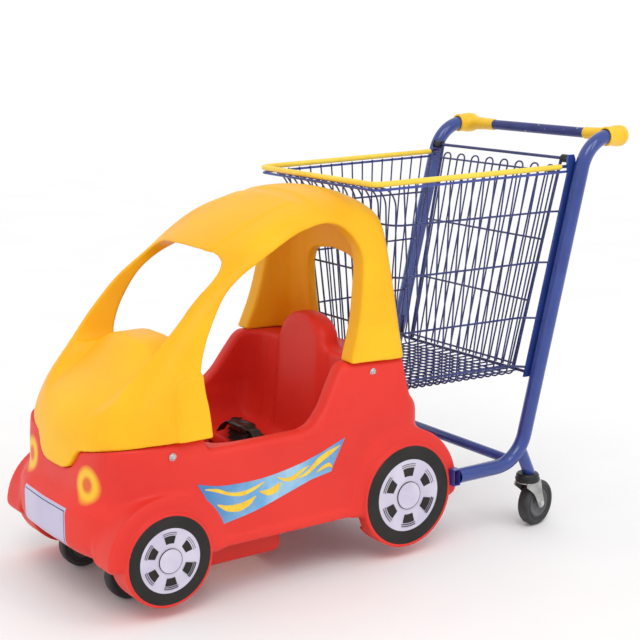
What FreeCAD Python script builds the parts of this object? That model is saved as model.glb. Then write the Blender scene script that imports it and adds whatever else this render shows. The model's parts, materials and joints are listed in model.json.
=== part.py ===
"""Children's shopping cart: a wire basket on a bent tube frame with a moulded toy car in front.

Millimetres. X is across the cart, -Y is the way it travels, +Z is up. The origin is on the floor
under the middle of the bounding box.
"""
import FreeCAD, Part
import math
import os

import Sketcher
from FreeCAD import Placement, Rotation, Vector

doc = FreeCAD.newDocument("car_cart")
SIDES = {"left": -1, "right": 1}
parts = {}

# ---------------------------------------------------------------- driving dimensions

SIZES = [
    ("tube_diameter", 36, "side tube, outside"),
    ("tube_wall", 2, "wall of every round tube"),
    ("tube_half_track", 282, "side tube axis from the middle"),
    ("handle_height", 966, "side tube axis at the handle"),
    ("chassis_height", 175, "side tube axis at the chassis"),
    ("tube_bend", 95, "both bends of the side tube, to the axis"),
    ("top_corner", 610, "y where the upright would meet the handle run"),
    ("bottom_corner", 410, "y where the upright would meet the chassis run"),
    ("tube_rear_end", 690, "y of the side tube's end inside the handle corner"),
    ("cross_tube_diameter", 25, "rear cross tube, outside"),
    ("stem_diameter", 30, "caster stem, outside"),
    ("member_depth", 20, "chassis cross member along y"),
    ("member_height", 40, "chassis cross member along z"),
    ("member_half_length", 292, "chassis cross member, half of its length"),
    ("member_rear", 215.5, "y of the cross member's rear face"),
    ("rail_section", 30, "square chassis rail and front beam"),
    ("rail_wall", 2, "wall of the square tubes"),
    ("rail_offset", 205, "chassis rail axis from the middle"),
    ("cap_diameter", 50, "handle corner over the tube end"),
    ("cap_length", 69, "handle corner along y"),
    ("handle_rear", 735.6, "y of the handle corner's rear face"),
    ("sleeve_diameter", 31, "handle corner's inward sleeve"),
    ("grip_half_length", 171.8, "handle grip, half of its length"),
    ("grip_diameter", 26, "handle grip, outside"),
    ("bar_diameter", 22, "handle bar, outside"),
    ("bar_y", 709, "handle bar axis"),
    ("wheel_diameter", 115, "all four running wheels"),
    ("tyre_width", 30, "all four running wheels"),
    ("tyre_seat_radius", 36, "hub outside, tyre inside"),
    ("axle_radius", 4, "wheel bolts"),
    ("running_gap", 0.05, "radial clearance of every shaft in its bore"),
    ("swivel_y", 443, "rear caster swivel axis"),
    ("caster_trail", 36, "swivel axis to wheel axle"),
    ("caster_yaw", 12, "degrees, how far each rear caster stands turned in"),
    ("kingpin_radius", 6, "swivel bolt"),
    ("collar_diameter", 61, "black collar under the stem"),
    ("collar_height", 20, "black collar under the stem"),
    ("crown_thickness", 3.2, "fork crown"),
    ("fork_thickness", 3, "fork leg"),
    ("fork_inner", 35.4, "between the fork legs"),
    ("front_wheel_x", 117, "front wheel from the middle"),
    ("front_wheel_y", -583, "front wheel axle"),
    ("hinge_y", 574, "gate hinge rod"),
    ("hinge_z", 914, "gate hinge rod"),
    ("hinge_rod_radius", 4, "gate hinge rod"),
    ("rail_strip_inner", 258, "inner face of the basket mounting strip"),
    ("strip_thickness", 6, "basket mounting strip"),
    ("rim_wire", 8, "basket rim rod"),
    ("rim_cover", 13, "yellow rim cover, outside"),
    ("hoop_wire", 5, "basket hoops"),
    ("thin_wire", 4, "basket panel wires"),
    ("gate_side_wire", 8, "gate side wires"),
    ("hairpin_wire", 4.4, "gate hairpin wires"),
    ("body_half_width", 266, "red body"),
    ("body_wall", 5, "wall of the moulded body and roof"),
    ("skirt_height", 130, "bottom edge of the red body"),
    ("fake_wheel_face", 281, "outer face of the moulded wheels"),
    ("front_fake_radius", 105, "moulded front wheel"),
    ("rear_fake_radius", 127, "moulded rear wheel"),
    ("front_disc_radius", 98, "front wheel sticker"),
    ("rear_disc_radius", 119, "rear wheel sticker"),
    ("sticker_thickness", 0.6, "stickers"),
    ("bumper_front", -735, "front face of the bumper"),
]

sheet = doc.addObject("Spreadsheet::Sheet", "Sizes")
for row, (alias, value, note) in enumerate(SIZES, start=1):
    sheet.set(f"A{row}", note)
    sheet.set(f"B{row}", str(value))
    sheet.setAlias(f"B{row}", alias)
doc.recompute()


def size(alias):
    """A driving dimension, read from the sheet."""
    return float(getattr(sheet, alias))


# ---------------------------------------------------------------- general helpers


def keep(obj, label):
    """Name an object as a sub-part that is exported."""
    obj.Label = label
    parts[label] = obj
    return obj


def shape_part(label, shape):
    """A sub-part whose shape is worked out with Part's own functions."""
    obj = doc.addObject("Part::Feature", label)
    obj.Shape = shape
    return keep(obj, label)


def bind(obj, prop, expression):
    obj.setExpression(prop, expression)
    return obj


def new_body(label):
    return keep(doc.addObject("PartDesign::Body", label), label)


def sketch(body, plane, offset=0.0):
    """A sketch on one of the body's own origin planes, moved along the plane's normal."""
    base = next(f for f in body.Origin.OriginFeatures if f.Role == plane)
    flat = body.newObject("Sketcher::SketchObject", body.Name + "_sketch")
    flat.AttachmentSupport = (base, [""])
    flat.MapMode = "FlatFace"
    flat.AttachmentOffset = Placement(Vector(0, 0, offset), Rotation())
    return flat


def add_circle(flat, name, expression, radius, x=0.0, y=0.0):
    index = flat.addGeometry(Part.Circle(Vector(x, y, 0), Vector(0, 0, 1), radius))
    constraint = flat.addConstraint(Sketcher.Constraint("Radius", index, radius))
    flat.renameConstraint(constraint, name)
    flat.setExpression("Constraints." + name, expression)


def add_polygon(flat, points):
    first = flat.GeometryCount
    count = len(points)
    for i in range(count):
        start = Vector(*points[i], 0)
        end = Vector(*points[(i + 1) % count], 0)
        flat.addGeometry(Part.LineSegment(start, end))
    for i in range(count):
        flat.addConstraint(Sketcher.Constraint("Coincident", first + i, 2, first + (i + 1) % count, 1))


def pad(body, flat, expression, reverse=False):
    feature = body.newObject("PartDesign::Pad", body.Name + "_pad")
    feature.Profile = flat
    feature.Reversed = reverse
    return bind(feature, "Length", expression)


def through_hole(body, flat):
    feature = body.newObject("PartDesign::Pocket", body.Name + "_hole")
    feature.Profile = flat
    feature.Type = "ThroughAll"
    return feature


def revolve(body, flat, axis):
    feature = body.newObject("PartDesign::Revolution", body.Name + "_turned")
    feature.Profile = flat
    feature.ReferenceAxis = (flat, [axis])
    feature.Angle = 360
    return feature


def rod(start, end, radius):
    axis = end - start
    return Part.makeCylinder(radius, axis.Length, start, axis)


def bent_path(points, radii):
    """Straight runs joined by tangent arcs; one radius for each inner point."""
    edges = []
    here = points[0]
    for i, radius in enumerate(radii, start=1):
        to_here = (points[i - 1] - points[i]).normalize()
        to_next = (points[i + 1] - points[i]).normalize()
        half_angle = to_here.getAngle(to_next) / 2
        reach = radius / math.tan(half_angle)
        start = points[i] + to_here * reach
        end = points[i] + to_next * reach
        inward = (to_here + to_next).normalize()
        middle = points[i] + inward * (radius / math.sin(half_angle) - radius)
        if (start - here).Length > 0.01:
            edges.append(Part.LineSegment(here, start).toShape())
        edges.append(Part.Arc(start, middle, end).toShape())
        here = end
    edges.append(Part.LineSegment(here, points[-1]).toShape())
    return Part.Wire(edges)


def swept(path, radius):
    """A round bar along a path."""
    first = path.OrderedEdges[0]
    start = first.valueAt(first.FirstParameter)
    along = first.tangentAt(first.FirstParameter)
    section = Part.Wire(Part.Circle(start, along, radius).toShape())
    return path.makePipeShell([section], True, True)


def mirrored(shape):
    return shape.mirror(Vector(0, 0, 0), Vector(1, 0, 0))


def mix(low, high, share):
    return low + (high - low) * share


# ---------------------------------------------------------------- frame

HALF_TRACK = size("tube_half_track")
TUBE_RADIUS = size("tube_diameter") / 2
LEAN = (size("top_corner") - size("bottom_corner")) / (size("handle_height") - size("chassis_height"))


def upright_y(height):
    """y of the upright's axis at a height."""
    return size("bottom_corner") + (height - size("chassis_height")) * LEAN


def side_path(x):
    return bent_path(
        [
            Vector(x, size("tube_rear_end"), size("handle_height")),
            Vector(x, size("top_corner"), size("handle_height")),
            Vector(x, size("bottom_corner"), size("chassis_height")),
            Vector(x, size("member_rear"), size("chassis_height")),
        ],
        [size("tube_bend"), size("tube_bend")],
    )


side_bars = {name: swept(side_path(sign * HALF_TRACK), TUBE_RADIUS) for name, sign in SIDES.items()}


def side_tube(name, sign):
    """The bent tube from the handle down the upright and forward to the chassis."""
    body = new_body("side_tube_" + name)
    path = sketch(body, "YZ_Plane")
    for edge in side_path(0).OrderedEdges:
        ends = [edge.valueAt(p) for p in (edge.FirstParameter, edge.LastParameter)]
        middle = edge.valueAt((edge.FirstParameter + edge.LastParameter) / 2)
        flat = [Vector(p.y, p.z, 0) for p in (ends[0], middle, ends[1])]
        if edge.Curve.TypeId == "Part::GeomLine":
            path.addGeometry(Part.LineSegment(flat[0], flat[2]))
        else:
            path.addGeometry(Part.Arc(*flat))
    profile = sketch(body, "XZ_Plane", -size("tube_rear_end"))
    top = size("handle_height")
    add_circle(profile, "outside", "Sizes.tube_diameter / 2", TUBE_RADIUS, 0, top)
    bore = TUBE_RADIUS - size("tube_wall")
    add_circle(profile, "inside", "Sizes.tube_diameter / 2 - Sizes.tube_wall", bore, 0, top)
    pipe = body.newObject("PartDesign::AdditivePipe", body.Name + "_pipe")
    pipe.Profile = profile
    pipe.Spine = (path, [f"Edge{i + 1}" for i in range(len(path.Geometry))])
    body.Placement = Placement(Vector(sign * HALF_TRACK, 0, 0), Rotation())


def round_tube(label, radius_cell, length, placement, tools=()):
    """A straight round tube, cut to the shape of what it is welded to."""
    solids = []
    for suffix, expression in (("_outside", ""), ("_bore", " - Sizes.tube_wall")):
        cylinder = doc.addObject("Part::Cylinder", label + suffix)
        bind(cylinder, "Radius", f"Sizes.{radius_cell} / 2{expression}")
        cylinder.Height = length
        cylinder.Placement = placement
        solids.append(cylinder)
    result = doc.addObject("Part::Cut", label)
    result.Base, result.Tool = solids
    for i, tool_shape in enumerate(tools):
        tool = doc.addObject("Part::Feature", f"{label}_tool_{i}")
        tool.Shape = tool_shape
        trimmed = doc.addObject("Part::Cut", f"{label}_trim_{i}")
        trimmed.Base = result
        trimmed.Tool = tool
        result = trimmed
    return keep(result, label)


ALONG_X = Rotation(Vector(0, 1, 0), 90)
CROSS_TUBE = Vector(0, 377, 188)
STEM_TOP = Vector(0, 412.3, 215)
STEM_FOOT = Vector(0, 450, 136)
COLLAR_TOP = 142.0


def frame_tubes():
    length = 2 * (HALF_TRACK - 2)
    start = CROSS_TUBE + Vector(-length / 2, 0, 0)
    bars = list(side_bars.values())
    round_tube("rear_cross_tube", "cross_tube_diameter", length, Placement(start, ALONG_X), bars)
    for name, sign in SIDES.items():
        side_tube(name, sign)
        top = STEM_TOP + Vector(sign * HALF_TRACK, 0, 0)
        along = STEM_FOOT - STEM_TOP
        tilt = Rotation(Vector(0, 0, 1), along)
        below = Part.makeBox(80, 80, 40, Vector(sign * HALF_TRACK - 40, 400, COLLAR_TOP - 40))
        stem = ("caster_stem_" + name, "stem_diameter", along.Length + 12)
        round_tube(*stem, Placement(top, tilt), [side_bars[name], below])


def box_tube(label, corner, lengths, run):
    """A square or oblong tube, open at both ends; run is the axis it runs along."""
    outer = doc.addObject("Part::Box", label + "_outside")
    inner = doc.addObject("Part::Box", label + "_bore")
    wall = size("rail_wall")
    names = ("Length", "Width", "Height")
    inner_corner = Vector(corner)
    for i, prop in enumerate(names):
        setattr(outer, prop, lengths[i])
        if i == run:
            setattr(inner, prop, lengths[i] + 2)
            inner_corner[i] = corner[i] - 1
        else:
            bind(inner, prop, f"{label}_outside.{prop} - 2 mm * Sizes.rail_wall")
            inner_corner[i] = corner[i] + wall
    outer.Placement = Placement(corner, Rotation())
    inner.Placement = Placement(inner_corner, Rotation())
    tube = doc.addObject("Part::Cut", label)
    tube.Base, tube.Tool = outer, inner
    return keep(tube, label), outer


BEAM_FRONT = size("front_wheel_y") - size("rail_section") / 2
MEMBER_FRONT = size("member_rear") - size("member_depth")


def chassis():
    """The cross member behind the car, the two rails under it and the front wheel beam."""
    half = size("member_half_length")
    low = size("chassis_height") - size("member_height") / 2
    corner = Vector(-half, MEMBER_FRONT, low)
    lengths = (2 * half, size("member_depth"), size("member_height"))
    outer = box_tube("chassis_cross_member", corner, lengths, 0)[1]
    bind(outer, "Length", "2 * Sizes.member_half_length")
    bind(outer, "Width", "Sizes.member_depth")
    bind(outer, "Height", "Sizes.member_height")
    section = size("rail_section")
    rail_low = size("chassis_height") - section / 2
    for name, sign in SIDES.items():
        corner = Vector(sign * size("rail_offset") - section / 2, BEAM_FRONT, rail_low)
        lengths = (section, MEMBER_FRONT - BEAM_FRONT, section)
        outer = box_tube("chassis_rail_" + name, corner, lengths, 1)[1]
        bind(outer, "Length", "Sizes.rail_section")
        bind(outer, "Height", "Sizes.rail_section")
    half = size("rail_offset") - section / 2
    outer = box_tube("front_beam", Vector(-half, BEAM_FRONT, rail_low), (2 * half, section, section), 0)[1]
    bind(outer, "Length", "2 * Sizes.rail_offset - Sizes.rail_section")
    bind(outer, "Width", "Sizes.rail_section")
    bind(outer, "Height", "Sizes.rail_section")


# ---------------------------------------------------------------- handle


def handle():
    """A steel bar between two moulded corners, with a printed grip over it."""
    half = HALF_TRACK - 8
    bar_z = size("handle_height")
    start = Vector(-half, size("bar_y"), bar_z)
    round_tube("handle_bar", "bar_diameter", 2 * half, Placement(start, ALONG_X))

    grip = new_body("handle_grip")
    section = sketch(grip, "YZ_Plane", -size("grip_half_length"))
    add_circle(section, "outside", "Sizes.grip_diameter / 2", size("grip_diameter") / 2)
    bore = size("bar_diameter") / 2 + 0.02
    add_circle(section, "inside", "Sizes.bar_diameter / 2 + 0.02", bore)
    pad(grip, section, "2 * Sizes.grip_half_length")
    grip.Placement = Placement(Vector(0, size("bar_y"), bar_z), Rotation())

    for name, sign in SIDES.items():
        handle_corner(name, sign, half)


def handle_corner(name, sign, bar_end):
    """Moulded elbow: a domed cap over the tube end and a sleeve over the handle bar."""
    height = size("handle_height")
    rear = size("handle_rear")
    front = rear - size("cap_length")
    axis = Vector(sign * HALF_TRACK, front, height)
    cap = Part.makeCylinder(size("cap_diameter") / 2, size("cap_length"), axis, Vector(0, 1, 0))
    rear_edges = [e for e in cap.Edges if e.BoundBox.YMin > rear - 0.1]
    cap = cap.makeFillet(14, rear_edges)
    sleeve_end = Vector(sign * (size("grip_half_length") + 0.2), size("bar_y"), height)
    sleeve = rod(Vector(axis.x, size("bar_y"), height), sleeve_end, size("sleeve_diameter") / 2)
    elbow = cap.fuse(sleeve).removeSplitter()
    bar_bore = rod(Vector(sign * bar_end, size("bar_y"), height), sleeve_end - Vector(sign, 0, 0),
                   size("bar_diameter") / 2)
    shape_part("handle_corner_" + name, elbow.cut(side_bars[name]).cut(bar_bore))


# ---------------------------------------------------------------- wheels and casters

AXLE_Z = size("wheel_diameter") / 2
CROWN_LOW = 118.5


def wheel_hub(label, placement):
    """Ribbed plastic wheel centre, turned about X."""
    body = new_body(label)
    flat = sketch(body, "XY_Plane")
    bore = size("axle_radius") + size("running_gap")
    seat = size("tyre_seat_radius")
    half = [(17, bore), (17, 10), (10, 16), (10, 28), (13, seat)]
    add_polygon(flat, half + [(-x, r) for x, r in reversed(half)])
    revolve(body, flat, "H_Axis")
    body.Placement = placement


def wheel_tyre(label, placement):
    """Solid grey tyre with raised rings on its sides, turned about X."""
    body = new_body(label)
    flat = sketch(body, "XY_Plane")
    seat = size("tyre_seat_radius")
    outer = size("wheel_diameter") / 2
    half_width = size("tyre_width") / 2
    half = [(13, seat), (14, seat + 2), (14, seat + 5), (12.5, seat + 6.5), (12.5, seat + 9),
            (half_width, seat + 10.5), (half_width, outer - 7), (half_width - 2, outer - 2.5),
            (half_width - 7, outer)]
    add_polygon(flat, half + [(-x, r) for x, r in reversed(half)])
    revolve(body, flat, "H_Axis")
    body.Placement = placement


def wheel_bolt(label, grip, placement):
    """Axle bolt with head and nut, turned about X; grip is the distance between them."""
    body = new_body(label)
    flat = sketch(body, "XY_Plane")
    radius = size("axle_radius")
    half = grip / 2
    outline = [(-half - 9, 0), (half + 4.5, 0), (half + 4.5, 5), (half + 3, 7), (half, 7), (half, radius),
               (-half, radius), (-half, 7), (-half - 6, 7), (-half - 6, radius), (-half - 9, radius)]
    add_polygon(flat, outline)
    revolve(body, flat, "H_Axis")
    body.Placement = placement


def rear_fork(label, placement):
    """Pressed yoke: a round crown with two tapering legs; its origin is on the swivel axis."""
    body = new_body(label)
    crown_radius = 29.0
    crown = sketch(body, "XY_Plane", CROWN_LOW)
    add_circle(crown, "crown", f"{crown_radius} mm", crown_radius)
    pad(body, crown, "Sizes.crown_thickness")
    trail = size("caster_trail")
    top = CROWN_LOW + size("crown_thickness")
    leg = [(-17, top), (17, top), (trail + 11, AXLE_Z + 3), (trail + 10, AXLE_Z - 7), (trail, AXLE_Z - 12),
           (trail - 9, AXLE_Z - 8), (trail - 13, AXLE_Z + 2), (-23, CROWN_LOW - 12), (-24, CROWN_LOW)]
    inner = size("fork_inner") / 2
    for offset in (inner, -inner - size("fork_thickness")):
        side = sketch(body, "YZ_Plane", offset)
        add_polygon(side, leg)
        pad(body, side, "Sizes.fork_thickness")
    pivot = sketch(body, "XY_Plane", top + 1)
    radius = size("kingpin_radius") + size("running_gap")
    add_circle(pivot, "pivot", "Sizes.kingpin_radius + Sizes.running_gap", radius)
    through_hole(body, pivot)
    axle = sketch(body, "YZ_Plane", inner + 10)
    add_circle(axle, "axle", "Sizes.axle_radius", size("axle_radius"), trail, AXLE_Z)
    through_hole(body, axle)
    body.Placement = placement


def caster_collar(label, placement):
    """Black moulded ring that covers the swivel bearing, turned about Z."""
    body = new_body(label)
    flat = sketch(body, "XZ_Plane")
    bore = size("kingpin_radius") + 0.02
    outer = size("collar_diameter") / 2
    low = COLLAR_TOP - size("collar_height")
    add_polygon(flat, [(bore, low), (outer - 3, low), (outer, low + 3), (outer, low + 8), (outer - 2, low + 9.5),
                       (outer - 2, COLLAR_TOP - 4), (outer - 5, COLLAR_TOP), (bore, COLLAR_TOP)])
    revolve(body, flat, "V_Axis")
    body.Placement = placement


def kingpin(label, placement):
    """Swivel bolt with its nut under the fork crown, turned about Z."""
    body = new_body(label)
    flat = sketch(body, "XZ_Plane")
    radius = size("kingpin_radius")
    nut_top = CROWN_LOW - 0.3
    add_polygon(flat, [(0, nut_top - 6), (10, nut_top - 6), (10, nut_top), (radius, nut_top),
                       (radius, COLLAR_TOP - 0.5), (0, COLLAR_TOP - 0.5)])
    revolve(body, flat, "V_Axis")
    body.Placement = placement


def front_bracket(label, placement):
    """Fixed yoke under the front beam: a bent channel with the axle through its legs."""
    body = new_body(label)
    inner = size("fork_inner") / 2
    outer = inner + size("fork_thickness")
    top = size("chassis_height") - size("rail_section") / 2
    low = AXLE_Z - 14
    depth = 17.0
    channel = sketch(body, "XZ_Plane", -depth)
    add_polygon(channel, [(-outer, low), (-outer, top), (outer, top), (outer, low), (inner, low),
                          (inner, top - 4), (-inner, top - 4), (-inner, low)])
    pad(body, channel, f"{2 * depth} mm")
    axle = sketch(body, "YZ_Plane", outer + 5)
    add_circle(axle, "axle", "Sizes.axle_radius", size("axle_radius"), 0, AXLE_Z)
    through_hole(body, axle)
    body.Placement = placement


def wheels():
    grip = size("fork_inner") + 2 * size("fork_thickness")
    for name, sign in SIDES.items():
        yaw = Rotation(Vector(0, 0, 1), sign * size("caster_yaw"))
        swivel = Vector(sign * HALF_TRACK, size("swivel_y"), 0)
        turned = Placement(swivel, yaw)
        caster_collar("rear_collar_" + name, Placement(swivel, Rotation()))
        kingpin("rear_kingpin_" + name, Placement(swivel, Rotation()))
        rear_fork("rear_fork_" + name, turned)
        out = Rotation() if sign > 0 else Rotation(Vector(0, 0, 1), 180)
        centre = turned.multVec(Vector(0, size("caster_trail"), AXLE_Z))
        at_axle = Placement(centre, yaw)
        wheel_bolt("rear_axle_" + name, grip, Placement(centre, yaw.multiply(out)))
        wheel_hub("rear_hub_" + name, at_axle)
        wheel_tyre("rear_tyre_" + name, at_axle)
        front = Vector(sign * size("front_wheel_x"), size("front_wheel_y"), 0)
        at_axle = Placement(front + Vector(0, 0, AXLE_Z), Rotation())
        front_bracket("front_bracket_" + name, Placement(front, Rotation()))
        wheel_bolt("front_axle_" + name, grip, Placement(at_axle.Base, out))
        wheel_hub("front_hub_" + name, at_axle)
        wheel_tyre("front_tyre_" + name, at_axle)


# ---------------------------------------------------------------- basket

RIM_FRONT_Z, RIM_REAR_Z = 886.0, 896.0
RIM_CORNER = 24.0
RIM_FRONT_Y, RIM_REAR_Y = -7.0, 590.0
HOOP_HEIGHTS = (787.0, 663.0, 527.0, 407.0)
BOTTOM_HOOP_Z = HOOP_HEIGHTS[-1]
FLOOR_LONG_Z = 384.8
FLOOR_CROSS_Z = 380.7
REAR_ROD = Vector(254, 461, 391)
LONG_WIRES = 16
SIDE_WIRES = 15
FRONT_LEAN = 0.105
FRONT_BEND = 45.0
FRONT_HALF = (203.0, 241.0)
REAR_HALF = (226.0, 253.8)


def front_y(z):
    """y of the front panel wires at a height; the panel leans forward a little going up."""
    return 58 + (HOOP_HEIGHTS[0] - z) * FRONT_LEAN


def strip_front_y(z):
    return upright_y(z) - 24


def on_bottom_bend(radius):
    """y, at the bottom hoop's height, of a circle round the bend at the foot of the front wires."""
    centre_z = FLOOR_LONG_Z + FRONT_BEND
    centre_y = front_y(centre_z) + FRONT_BEND * math.hypot(1, FRONT_LEAN)
    return centre_y - math.sqrt(radius**2 - (centre_z - BOTTOM_HOOP_Z) ** 2)


def loop_path(half_front, half_rear, front, rear, z_front, z_rear, corner, ends=()):
    """A path round three sides of the basket, seen from above: rear left, front, rear right."""
    right = [Vector(half_rear, rear, z_rear)] + [Vector(*p) for p in ends]
    left = [Vector(-p.x, p.y, p.z) for p in reversed(right)]
    points = left + [Vector(-half_front, front, z_front), Vector(half_front, front, z_front)] + right
    bends = [4.0] * len(ends)
    return bent_path(points, bends + [corner, corner] + bends)


def basket_rim():
    shape = (*[FRONT_HALF[1], REAR_HALF[1]], RIM_FRONT_Y)
    rim = loop_path(*shape, RIM_REAR_Y, RIM_FRONT_Z, RIM_REAR_Z, RIM_CORNER)
    shape_part("basket_rim_rod", swept(rim, size("rim_wire") / 2))
    cover_end = 548.0
    share = (cover_end - RIM_FRONT_Y) / (RIM_REAR_Y - RIM_FRONT_Y)
    end_z = mix(RIM_FRONT_Z, RIM_REAR_Z, share)
    end_half = mix(FRONT_HALF[1], REAR_HALF[1], share)
    covered = loop_path(FRONT_HALF[1], end_half, RIM_FRONT_Y, cover_end, RIM_FRONT_Z, end_z, RIM_CORNER)
    outer = swept(covered, size("rim_cover") / 2)
    shape_part("basket_rim_cover", outer.cut(swept(rim, size("rim_wire") / 2 + 0.05)))
    drop = 13.0
    lower = loop_path(*shape, RIM_REAR_Y - 16, RIM_FRONT_Z - drop, RIM_REAR_Z - drop, RIM_CORNER)
    shape_part("basket_rim_wire", swept(lower, 3))


def side_line(z, gap):
    """Half widths, at two values of y, of a straight line just outside the side wires at a height."""
    ends = [side_wire_ends(index) for index in range(SIDE_WIRES)]
    crossings = [top + (foot - top) * ((top.z - z) / (top.z - foot.z)) for top, foot in ends]
    first, last = crossings[0], crossings[-1]
    slope = (last.x - first.x) / (last.y - first.y)
    bulge = max(p.x - first.x - slope * (p.y - first.y) for p in crossings)
    return lambda y: first.x + bulge + gap + slope * (y - first.y)


def basket_hoops():
    """Hoops round the outside of the panel wires, their ends bent out to the mounting strips."""
    hoops = []
    wire = size("thin_wire") / 2
    for z in HOOP_HEIGHTS:
        radius = 3.0 if z == BOTTOM_HOOP_Z else size("hoop_wire") / 2
        rear = strip_front_y(z) - 26
        reach = size("rail_strip_inner") - radius
        ends = [(reach, strip_front_y(z) + 4, z), (reach, strip_front_y(z) + 10, z)]
        if z == BOTTOM_HOOP_Z:
            front = on_bottom_bend(FRONT_BEND + wire + radius)
        else:
            front = front_y(z) - (radius + wire) * math.hypot(1, FRONT_LEAN)
        half_at = side_line(z, (radius + wire) * 1.01)
        path = loop_path(half_at(front), half_at(rear), front, rear, z, z, 32, ends)
        hoops.append(swept(path, radius))
    shape_part("basket_hoops", Part.makeCompound(hoops))


def side_wire_ends(index):
    """Top of one side wire on the right-hand side, and the corner where it turns under the floor."""
    share = index / (SIDE_WIRES - 1)
    top_y = mix(76, 548, share)
    rim_z = mix(RIM_FRONT_Z, RIM_REAR_Z, (top_y - RIM_FRONT_Y) / (RIM_REAR_Y - RIM_FRONT_Y))
    rim_x = mix(FRONT_HALF[1], REAR_HALF[1], (top_y - RIM_FRONT_Y) / (RIM_REAR_Y - RIM_FRONT_Y))
    bottom_y = mix(134, 446, share)
    inset = 3.0 + size("thin_wire") / 2
    top = Vector(rim_x - inset, top_y, rim_z - size("rim_cover") / 2 - 1)
    bottom_x = mix(FRONT_HALF[0], REAR_HALF[0], share)
    bottom = Vector(bottom_x - inset, bottom_y, BOTTOM_HOOP_Z)
    foot = bottom + (bottom - top) * ((BOTTOM_HOOP_Z - FLOOR_CROSS_Z) / (top.z - bottom.z))
    return top, foot


def basket_panels():
    """The two fanned sides, the front and the two layers of the floor."""
    radius = size("thin_wire") / 2
    bend = 20.0
    sides = []
    cross = []
    for index in range(SIDE_WIRES):
        top, foot = side_wire_ends(index)
        inner = Vector(foot.x - bend - 2, foot.y, FLOOR_CROSS_Z)
        sides.append(swept(bent_path([top, foot, inner], [bend]), radius))
        cross.append(rod(Vector(-inner.x, inner.y, inner.z), inner, radius))
    panel = Part.makeCompound(sides)
    shape_part("basket_side_wires_right", panel)
    shape_part("basket_side_wires_left", mirrored(panel))
    shape_part("basket_floor_cross_wires", Part.makeCompound(cross))

    front = []
    floor = []
    for index in range(LONG_WIRES):
        spread = 2 * index / (LONG_WIRES - 1) - 1
        at_corner = abs(spread) == 1
        top_y = front_y(812) + (7 if at_corner else 0)
        low_y = front_y(FLOOR_LONG_Z) + (1.5 if at_corner else 0)
        rim_y = RIM_FRONT_Y + (11 if at_corner else 2)
        points = [
            Vector(226 * spread, rim_y, RIM_FRONT_Z - 8.2),
            Vector(226 * spread, top_y, RIM_FRONT_Z - 8.2),
            Vector(178 * spread, low_y, FLOOR_LONG_Z),
            Vector(178 * spread, low_y + 52, FLOOR_LONG_Z),
        ]
        front.append(swept(bent_path(points, [58, FRONT_BEND]), radius))
        floor.append(rod(points[3], Vector(199 * spread, REAR_ROD.y + 7, FLOOR_LONG_Z), radius))
    shape_part("basket_front_wires", Part.makeCompound(front))
    shape_part("basket_floor_long_wires", Part.makeCompound(floor))

    end = REAR_ROD
    path = [Vector(-end.x, end.y + 4, 448), Vector(-end.x, end.y, end.z), end, Vector(end.x, end.y + 4, 448)]
    shape_part("basket_rear_rod", swept(bent_path(path, [14, 14]), 3.9))


def basket_mounts():
    """Flat strips on the uprights that carry the basket, and the bushes for the gate's rod."""
    foot, top = 384.0, 880.0
    lug_half = 13.0
    for name, sign in SIDES.items():
        strip = new_body("mounting_strip_" + name)
        flat = sketch(strip, "YZ_Plane", size("rail_strip_inner") if sign > 0 else
                      -size("rail_strip_inner") - size("strip_thickness"))
        outline = [(strip_front_y(foot), foot), (upright_y(foot) + 2, foot), (upright_y(top) + 2, top),
                   (size("hinge_y") + lug_half, size("hinge_z")), (size("hinge_y") + 8, size("hinge_z") + 11),
                   (size("hinge_y") - 8, size("hinge_z") + 11), (size("hinge_y") - lug_half, size("hinge_z")),
                   (strip_front_y(top), top)]
        add_polygon(flat, outline)
        pad(strip, flat, "Sizes.strip_thickness")

        bush = new_body("hinge_bush_" + name)
        length = 25.0
        start = size("rail_strip_inner") - length if sign > 0 else -size("rail_strip_inner")
        ring = sketch(bush, "YZ_Plane", start)
        add_circle(ring, "outside", "10 mm", 10.0, size("hinge_y"), size("hinge_z"))
        bore = size("hinge_rod_radius") + size("running_gap")
        add_circle(ring, "bore", "Sizes.hinge_rod_radius + Sizes.running_gap", bore, size("hinge_y"),
                   size("hinge_z"))
        pad(bush, ring, f"{length} mm")


# ---------------------------------------------------------------- gate

HINGE = Vector(0, size("hinge_y"), size("hinge_z"))
GATE_FOOT = Vector(0, REAR_ROD.y - 8.5, 391)
GATE_DOWN = (GATE_FOOT - HINGE).normalize()
GATE_LENGTH = (GATE_FOOT - HINGE).Length
GATE_FORWARD = Vector(0, GATE_DOWN.z, -GATE_DOWN.y)
GATE_HALF = (228.0, 205.0)
HAIRPINS = 8


def on_gate(x, down, forward=0.0):
    return HINGE + Vector(x, 0, 0) + GATE_DOWN * down + GATE_FORWARD * forward


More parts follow.
